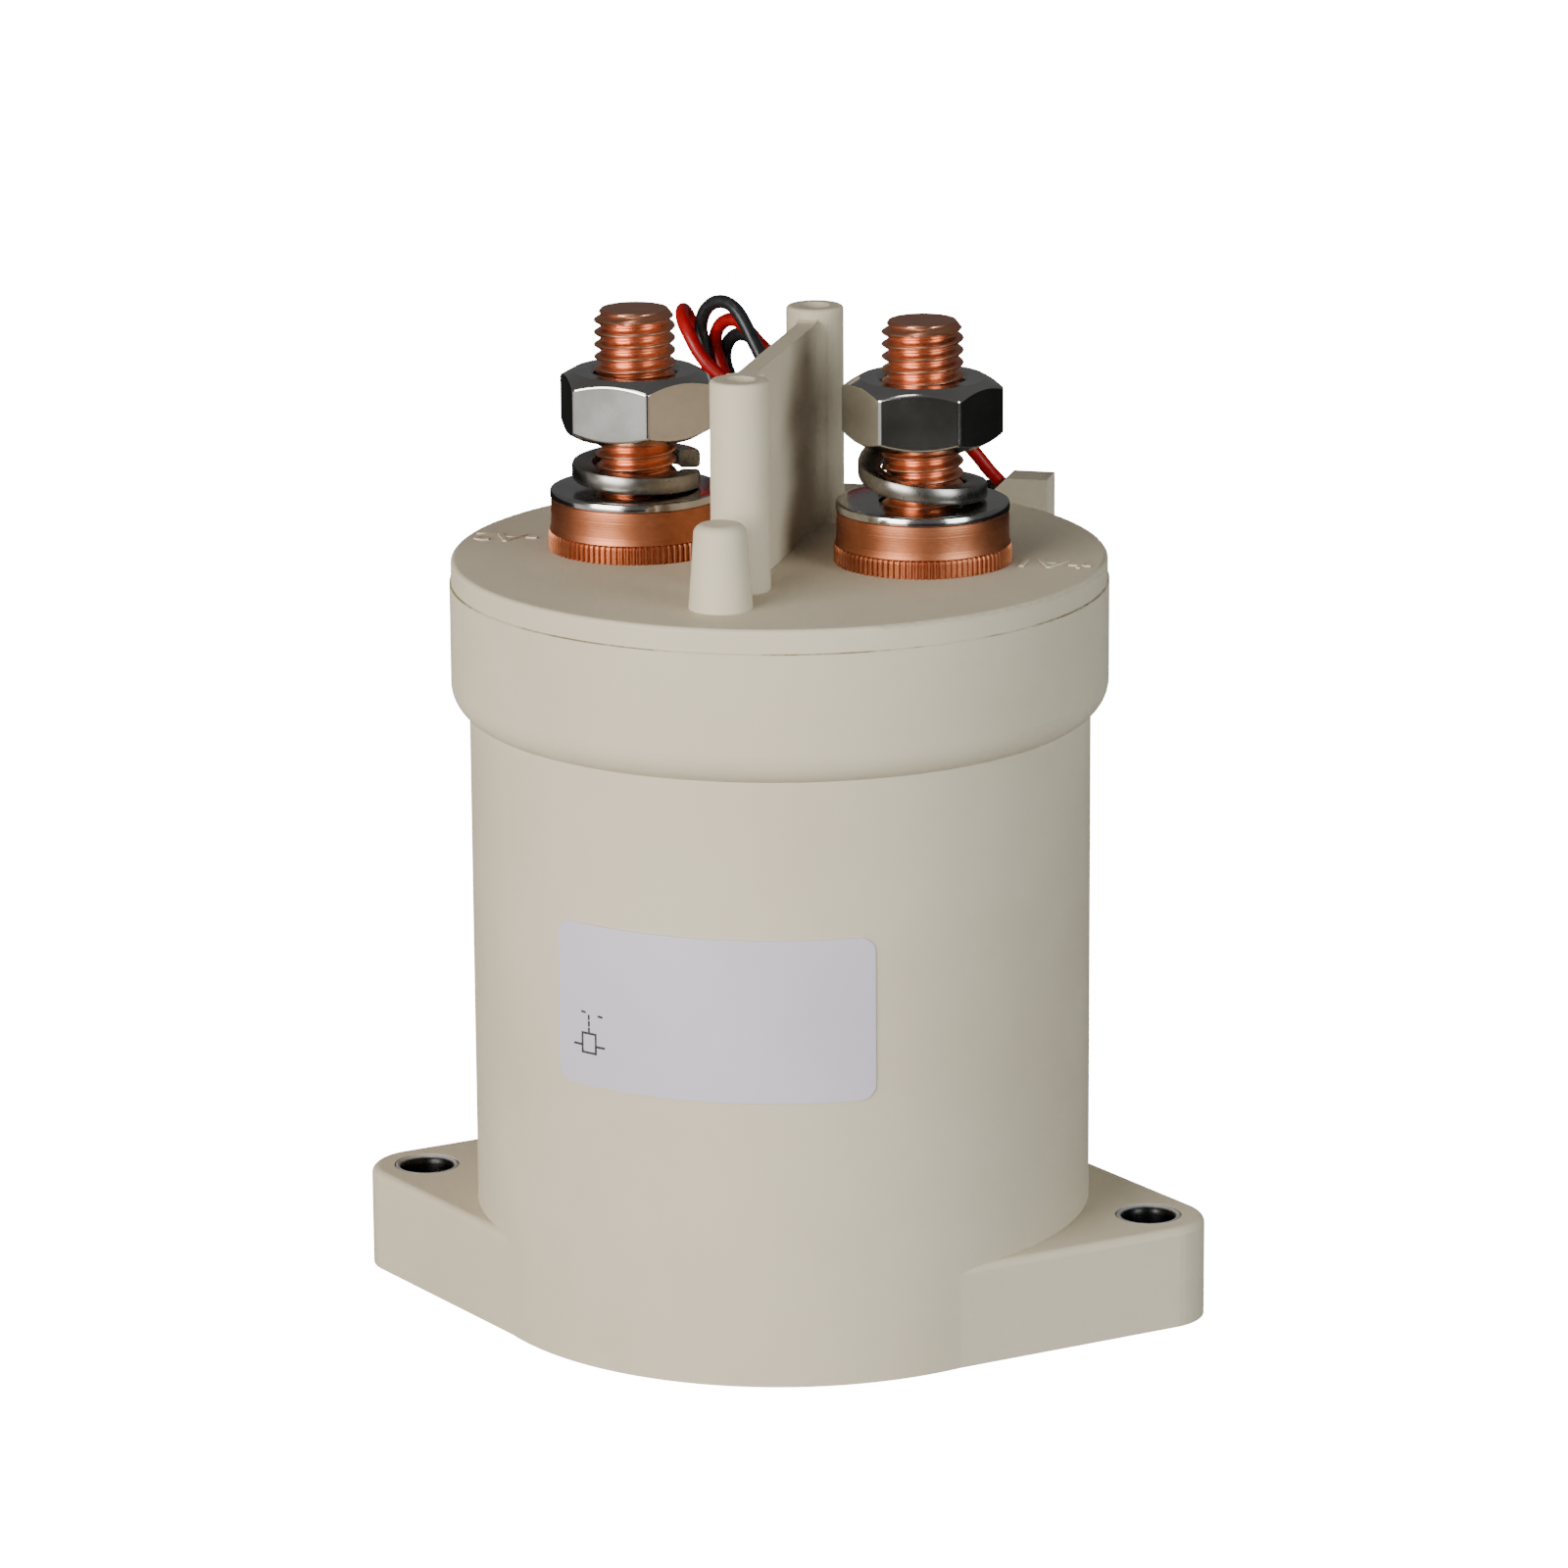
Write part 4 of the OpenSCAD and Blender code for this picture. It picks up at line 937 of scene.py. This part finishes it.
def white_to_camera(tree, shader, white, output):
    """Shows one shader to the camera and the other one to everything else."""
    white.inputs["Strength"].default_value = WHITE
    mixed, path = tree.nodes.new("ShaderNodeMixShader"), tree.nodes.new("ShaderNodeLightPath")
    tree.links.new(path.outputs["Is Camera Ray"], mixed.inputs[0])
    tree.links.new(shader.outputs[0], mixed.inputs[1])
    tree.links.new(white.outputs[0], mixed.inputs[2])
    tree.links.new(mixed.outputs[0], output.inputs["Surface"])


bm = bmesh.new()
bmesh.ops.create_grid(bm, x_segments=1, y_segments=1, size=FLOOR_W / 2)
mesh = bpy.data.meshes.new("floor")
bm.to_mesh(mesh)
bm.free()
floor = bpy.data.objects.new("floor", mesh)
bpy.context.scene.collection.objects.link(floor)
floor.location.z = -FLOOR_GAP
material = bpy.data.materials.new("floor")
material.use_nodes = True
mesh.materials.append(material)

tree = material.node_tree
shader = tree.nodes["Principled BSDF"]
path, dim = tree.nodes.new("ShaderNodeLightPath"), tree.nodes.new("ShaderNodeMix")
dim.data_type = "RGBA"
dim.inputs[6].default_value, dim.inputs[7].default_value = (0.4, 0.4, 0.4, 1), (0.032, 0.032, 0.03, 1)
tree.links.new(path.outputs["Is Glossy Ray"], dim.inputs[0])
tree.links.new(dim.outputs[2], shader.inputs["Base Color"])
shader.inputs["Roughness"].default_value = 1
shader.inputs["Specular IOR Level"].default_value = 0
white_to_camera(tree, shader, tree.nodes.new("ShaderNodeEmission"), tree.nodes["Material Output"])

world = bpy.data.worlds.new("studio")
bpy.context.scene.world = world
world.use_nodes = True
tree = world.node_tree
room = tree.nodes["Background"]
room.inputs["Color"].default_value, room.inputs["Strength"].default_value = (0.95, 0.97, 1, 1), ROOM_LIGHT
white = tree.nodes.new("ShaderNodeBackground")
white.inputs["Color"].default_value = (1, 1, 1, 1)
white_to_camera(tree, room, white, tree.nodes["World Output"])


# %% Lights
LIGHT_AIM = Vector((0, 0, 0.065))


def soft_light(name, turn, height, distance, width, tall, watts, tint=(1, 1, 1), mirrored=True):
    """A rectangular light at a compass angle round the contactor, aimed at its middle."""
    lamp = bpy.data.lights.new(name, "AREA")
    lamp.shape, lamp.size, lamp.size_y, lamp.energy, lamp.color = "RECTANGLE", width, tall, watts, tint
    light = bpy.data.objects.new(name, lamp)
    light.visible_camera, light.visible_glossy = False, mirrored
    bpy.context.scene.collection.objects.link(light)
    turn = math.radians(turn)
    light.location = (distance * math.cos(turn), distance * math.sin(turn), height)
    light.rotation_mode = "QUATERNION"
    light.rotation_quaternion = (LIGHT_AIM - light.location).to_track_quat("-Z", "Y")


soft_light("left softbox", -117, 0.28, 0.85, 0.6, 0.45, 12.0)
soft_light("right softbox", -31, 0.28, 0.85, 0.4, 0.45, 5.5, (0.85, 0.95, 1))
soft_light("overhead", -110, 0.8, 0.3, 0.12, 0.3, 0.5)
soft_light("low card", -130, 0.045, 0.3, 0.42, 0.13, 0.12)
soft_light("back softbox", 104, 0.1, 0.95, 0.7, 0.25, 2.8, mirrored=False)
